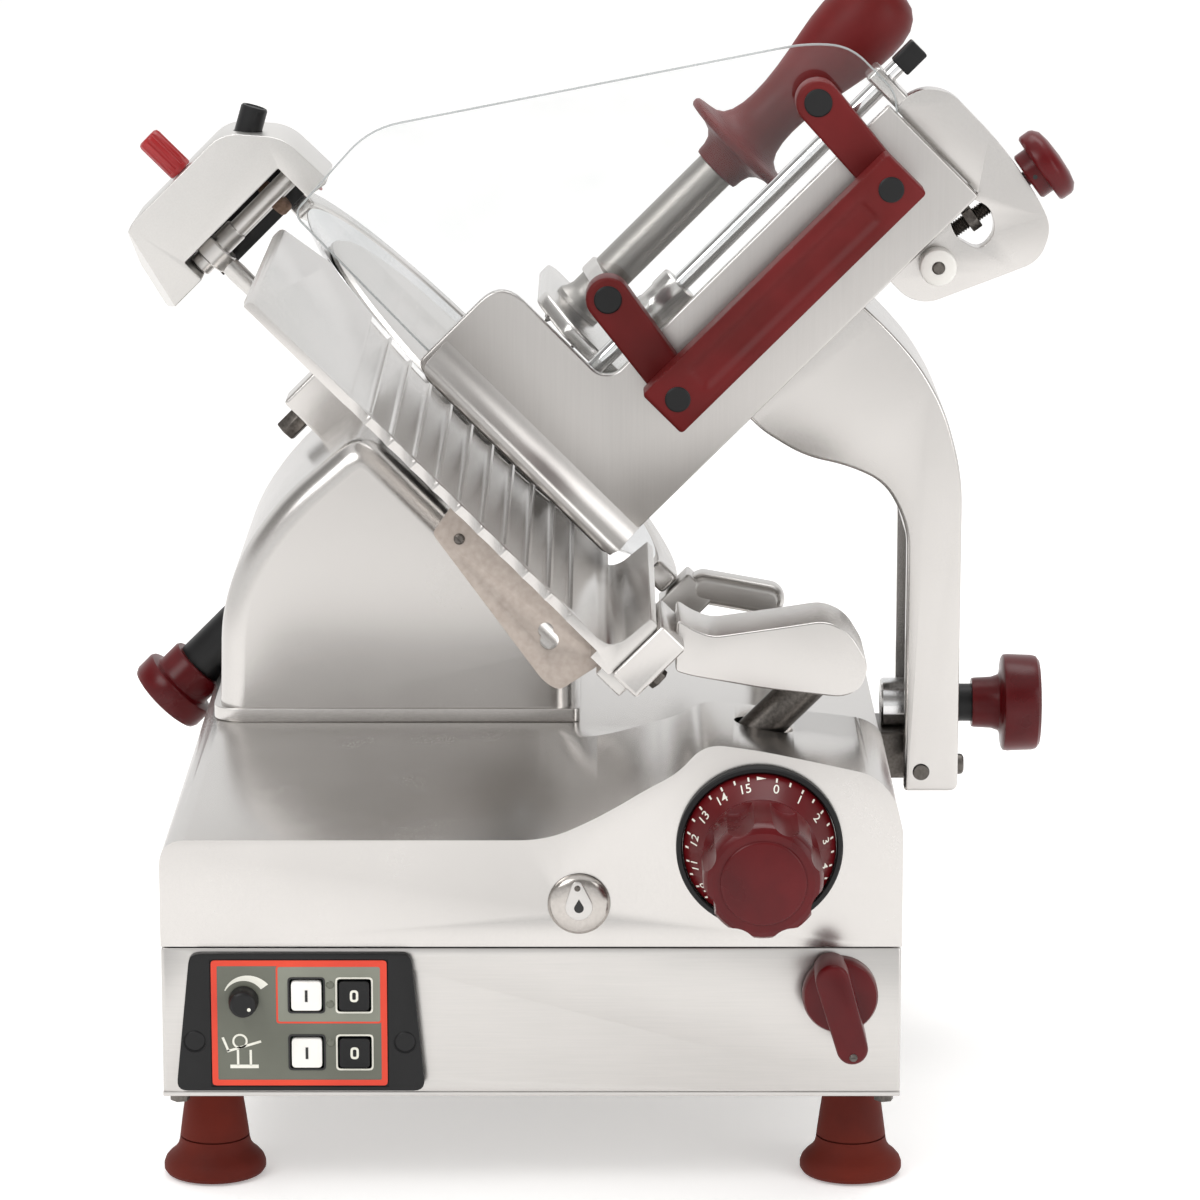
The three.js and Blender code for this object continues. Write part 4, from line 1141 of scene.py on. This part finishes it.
# %% End bracket
end_line = [
    (222, 606, 4), (230, 628, 12), (245, 636, 10), (262, 633, 14), (296, 598, 20), (318, 566, 22),
    (327, 548, 14), (320, 526, 20), (300, 518, 16), (250, 499, 12), (236, 502, 8), (224, 514, 3),
]
end_plate = slab(rounded(end_line), "y", 276.2, 291.8)
window_line = [(276, 566), (288, 560, 6), (292, 544, 9), (282, 532, 9), (266, 541, 8), (262, 552)]
tray_gap = lean_down(block(-420, -204.7, 260, 330, 400, 600.4))
cut(end_plate, slab(rounded(window_line), "y", 260, 330), tray_gap)
round_edges(end_plate, 1.5, 3, 45)
KNOB_PLACE = Matrix.Translation((309, 284, 576)) @ Matrix.Rotation(-0.626, 4, "Y")
screw_hole = place(shaft("x", 5.6, -80, 20, 0, 0, 0.1), KNOB_PLACE)
cut(end_plate, screw_hole, shaft("y", 4.5, 260, 330, *ROLLER_AXIS, 0.1))
settle(end_plate, "end_bracket_casting", "carriage", CAST, ["end_bracket"])
lug_piece = block(-306, -262, 276.4, 311.8, 600.9, 611.8)
cut(lug_piece, shaft("z", 6.6, 590, 620, *ROD_AXIS, 0.1))
settle(round_edges(lug_piece, 2, 3, 50), "end_bracket_lug", "carriage", CAST, (), True)
wheel_profile = [
    (4.2, 258.2), (9.6, 258.2), (11.2, 259), (11.7, 260.6), (11.7, 273), (11.2, 274.6), (9.6, 275.3),
    (4.2, 275.3),
]
wheel = turned(wheel_profile, "y", *ROLLER_AXIS, 56)
settle(wheel, "roller_wheel", "roller", WHITE, ["roller"])
pin = turned([(0, 257.2), (3.2, 257.2), (4, 258), (4, 295.6), (0, 295.6)], "y", *ROLLER_AXIS, 32)
settle(pin, "roller_pin", "roller", (dark_steel, "white"))
thread = turned(
    [(0, -58)] + [(5 if k % 2 else 4.1, -57 + 0.9 * k) for k in range(50)] + [(0, -11)], "x", 0, 0, 32
)
settle(place(thread, KNOB_PLACE), "end_screw_thread", "end_knob", DARK, (), angle=20)
stop_nut = slab(hexagon(0, 0, 8.6, 0.2), "x", -44, -37)
round_edges(stop_nut, 0.7, 2)
settle(place(stop_nut, KNOB_PLACE), "end_screw_nut", "end_knob", DARK)
knob_profile = [
    (0, -14), (4.9, -14), (4.9, 3.2), (14.6, 3.2), (16, 4.4), (16, 11.8), (22.6, 12.2), (23.8, 13.4),
    (24, 15), (24, 20.4), (23, 22.6), (19.6, 25.6), (12, 27.2), (0, 27.8),
]
stop_knob = place(turned(knob_profile, "x", 0, 0, 72), KNOB_PLACE)
settle(stop_knob, "end_knob_grip", "end_knob", DIAL_RED, ["end_knob"], angle=40)
grub = place(
    turned([(0, 15.4), (1.5, 15.4), (1.5, 16.2), (0, 16.2)], "z", 7.6, 0, 20),
    KNOB_PLACE @ Matrix.Rotation(math.pi / 2, 4, "X")
)
settle(grub, "end_knob_grub", "end_knob", (black_print, "wine_red"))

# %% [markdown]
# ## Carriage arm
# The arm that carries the tray is a heavy casting with a hollow foot over the trolley. Its outline comes from
# the front, and the foot's hollow is cut from below. Wide bevels give it the soft, ground edges.

# %% Carriage arm
arm_line = [
    (239, 175, 3), (274, 175, 6), (274, 385, 60), (262, 428, 40), (246, 456, 26), (228, 477, 14),
    (207.8, 496.2), (135, 423.6), (146, 413, 12), (172, 397, 24), (200, 391, 22), (224, 380, 22),
    (239, 352, 26),
]
swing = slab(rounded(arm_line), "y", 290.2, 404.8)
round_edges(swing, 5.5, 5, 50)
cut(swing,
    block(225, 266, 300, 395, 160, 345),
    shaft("x", 6.1, 250, 290, *LOCK_AXIS, 0.1),
    shaft("y", 5.5, 280, 420, *PIVOT_AXIS, 0.1),
)
settle(swing, "carriage_arm_casting", "carriage", CAST, ["carriage_arm"])
bolt = turned([(0, 278.6), (5, 278.4), (6.4, 277.4), (6.8, 275.8), (6.8, 273), (0, 273)], "x", 304, 190, 32)
settle(bolt, "arm_bolt_0", "carriage", DARK)

# %% [markdown]
# ## Locking knobs
# Two large wine-red knobs: one clamps the carriage arm, the other holds the blade cover's tie rod. Each is
# turned, with a dished end and a rim that stands out, on a black collar or tube.

# %% Locking knobs
lock_profile = [
    (0, 286.2), (16, 286.2), (16.4, 288), (17, 299), (18.6, 303.6), (22, 305.6), (30, 306), (31.6, 307),
    (32, 309.6), (31.4, 325.6), (30.6, 328.6), (28, 330.6), (22, 330.8), (18, 328.6), (0, 327.6),
]
lock_piece = turned(lock_profile, "x", *LOCK_AXIS, 96)
settle(lock_piece, "lock_knob_grip", "lock_knob", DIAL_RED, ["lock_knob"], angle=35)
collar = turned(
    [(5.6, 274.5), (11.6, 274.5), (12.4, 275.3), (12.4, 286.4), (5.6, 286.4)], "x", *LOCK_AXIS, 56
)
settle(collar, "lock_knob_collar", "lock_knob", BLACK)
stud = turned([(0, 252.2), (5.4, 252.2), (5.4, 287), (0, 287)], "x", *LOCK_AXIS, 32)
settle(stud, "lock_knob_stud", "lock_knob", DARK)
tie_profile = [
    (0, -38), (14, -38), (17, -42.6), (23, -43.8), (26.6, -42.6), (28, -39.6), (28, -28), (27, -26.4),
    (22, -25.4), (21, -23.6), (21, -10), (20, -8.4), (0, -8.2),
]
tie_knob = turned(tie_profile, "z", *BLADE_AXIS, 96)
settle(tie_knob, "tie_rod_knob_grip", "tie_rod_knob", DIAL_RED, ["tie_rod_knob"], True, 35)
tie_tube = turned([(0, -9), (16, -9), (16.4, -7), (16.4, 59.8), (0, 59.8)], "z", *BLADE_AXIS, 64)
settle(tie_tube, "tie_rod_tube", "tie_rod_knob", BLACK, (), True)

# %% [markdown]
# ## Power inlet and trolley
# The inlet's socket has three flat pins. The trolley runs on a chromed rail inside the base, and only its
# neck and hub show beside the arm.

# %% Power inlet and trolley
socket = round_edges(block(-177, -123, 530.3, 532.9, 94, 126), 1.2, 3)
cut(socket, block(-165, -135, 520, 540, 102, 118))
settle(socket, "power_inlet_flange", "base", BLACK, ["power_inlet"])
cup = block(-171.4, -128.6, 506, 530.6, 98.6, 121.4)
cut(cup, block(-165, -135, 515, 540, 102, 118))
settle(round_edges(cup, 0.8, 2, 50), "power_inlet_cup", "base", BLACK)
for i, (x, z) in enumerate([(-157, 108), (-150, 112), (-143, 108)]):
    contact = round_edges(block(x - 2.2, x + 2.2, 513, 529, z - 1, z + 1), 0.4, 2)
    settle(contact, f"power_inlet_pin_{i}", "base", GROUND)
carrier = block(168, 210, 305, 400, 170, 210)
cut(carrier, shaft("y", 10.4, 280, 420, 190, 190, 0.1))
settle(round_edges(carrier, 1.6, 3, 50), "trolley_block", "trolley", DARK, ["trolley"])
neck = block(205, 258, 320, 375, 176, 207)
cut(neck, shaft("y", 5.3, 280, 420, *PIVOT_AXIS, 0.1))
settle(round_edges(neck, 1.4, 3, 50), "trolley_neck", "trolley", DARK)
hub_profile = [(0, 226.2), (15.4, 226.2), (16.5, 227.4), (16.5, 248.8), (15.4, 249.8), (0, 249.8)]
hub_piece = turned(hub_profile, "x", *LOCK_AXIS, 56)
settle(hub_piece, "trolley_hub", "trolley", GROUND)

# %% [markdown]
# ## Carried-over pieces
# The pieces inside keep their CAD meshes. Each gets the finish that its real counterpart has and smooth
# shading, and no more, because they are hardly seen.

# %% Carried-over finishes
inner_finishes = {
    "bottom_plate": brushed_sheet, "control_board": circuit_laminate, "dial_shaft": dark_steel,
    "hub_bearing": ground_steel, "blade_hub": ground_steel, "blade_motor": dark_steel,
    "motor_pulley": dark_steel, "drive_belt": belt_rubber, "tie_rod": ground_steel,
    "carriage_rail": chrome_plate, "pivot_pin": dark_steel,
}
for name, finish in inner_finishes.items():
    piece = nodes[name]
    piece.data.materials.clear()
    piece.data.materials.append(finish)
    activate(piece)
    bpy.ops.object.shade_smooth_by_angle(angle=math.radians(32))
print("finished", len(inner_finishes), "inner pieces")

# %% [markdown]
# ## Floor and light
# A pale floor, a white backdrop and three soft lamps, as in a white studio. The floor glows a little, so that
# it stays as pale as the backdrop. Metal needs something darker to reflect, so the surround has grey bands
# below and above eye level, which the backdrop hides behind the machine.

# %% Floor
deselect_all()
bpy.ops.mesh.primitive_plane_add(size=60, location=(0, 20, -0.0005))
floor = bpy.context.object
floor.name = "studio_floor"
floor_paint, floor_tree, floor_shader = new_material(
    "matt_studio_paint", Roughness=0.85, Emission_Strength=0.3
)
speckle = add_node(floor_tree, "ShaderNodeTexNoise", {"Vector": object_space(floor_tree), "Scale": 3.0})
paint = ramp(floor_tree, speckle.outputs["Fac"], (0.3, "#F4F3F2"), (0.7, "#F8F7F6"))
floor_tree.links.new(paint, floor_shader.inputs["Base Color"])
floor.data.materials.append(floor_paint)
print("floor ready")

# %% Studio light
world = bpy.data.worlds.new("studio_surround")
bpy.context.scene.world = world
world.use_nodes = True
sky = world.node_tree
background = sky.nodes["Background"]
direction = add_node(sky, "ShaderNodeTexCoord")
split = add_node(sky, "ShaderNodeSeparateXYZ", {"Vector": direction.outputs["Generated"]})
height = add_node(
    sky, "ShaderNodeMapRange", {"Value": split.outputs["Z"], "From Min": -1.0, "From Max": 1.0}
)
surround = ramp(
    sky, height.outputs["Result"], (0.0, "#8A8886"), (0.38, "#A5A3A1"), (0.43, "#FFFFFF"), (0.6, "#FFFFFF"),
    (0.68, "#A9A7A5"), (0.82, "#8E8C8A"), (0.92, "#FFFFFF"), (1.0, "#FFFFFF")
)
backdrop = add_node(
    sky, "ShaderNodeMapRange", {"Value": split.outputs["Y"], "From Min": 0.3, "From Max": 0.6}
)
surround = add_node(
    sky, "ShaderNodeMix", {0: backdrop.outputs["Result"], 6: surround}, data_type="RGBA"
)
surround.inputs[7].default_value = linear("#FFFFFF")
sky.links.new(surround.outputs[2], background.inputs["Color"])
background.inputs["Strength"].default_value = 1.0
bpy.context.scene.view_settings.view_transform = "Standard"


def softbox(name, location, size, power, target=(0, 0, 0.3)):
    deselect_all()
    bpy.ops.object.light_add(type="AREA", location=location)
    lamp = bpy.context.object
    lamp.name = name
    lamp.data.shape = "RECTANGLE"
    lamp.data.size, lamp.data.size_y = size
    lamp.data.energy = power
    lamp.rotation_euler = (Vector(target) - Vector(location)).to_track_quat("-Z", "Y").to_euler()
    return lamp


softbox("key_softbox", (-1.6, -1.8, 2.2), (1.6, 1.2), 31)
softbox("fill_softbox", (1.9, -1.6, 1.2), (0.9, 1.6), 12)
softbox("top_softbox", (0.2, 0.6, 2.4), (1.8, 1.0), 19)
print("light ready")
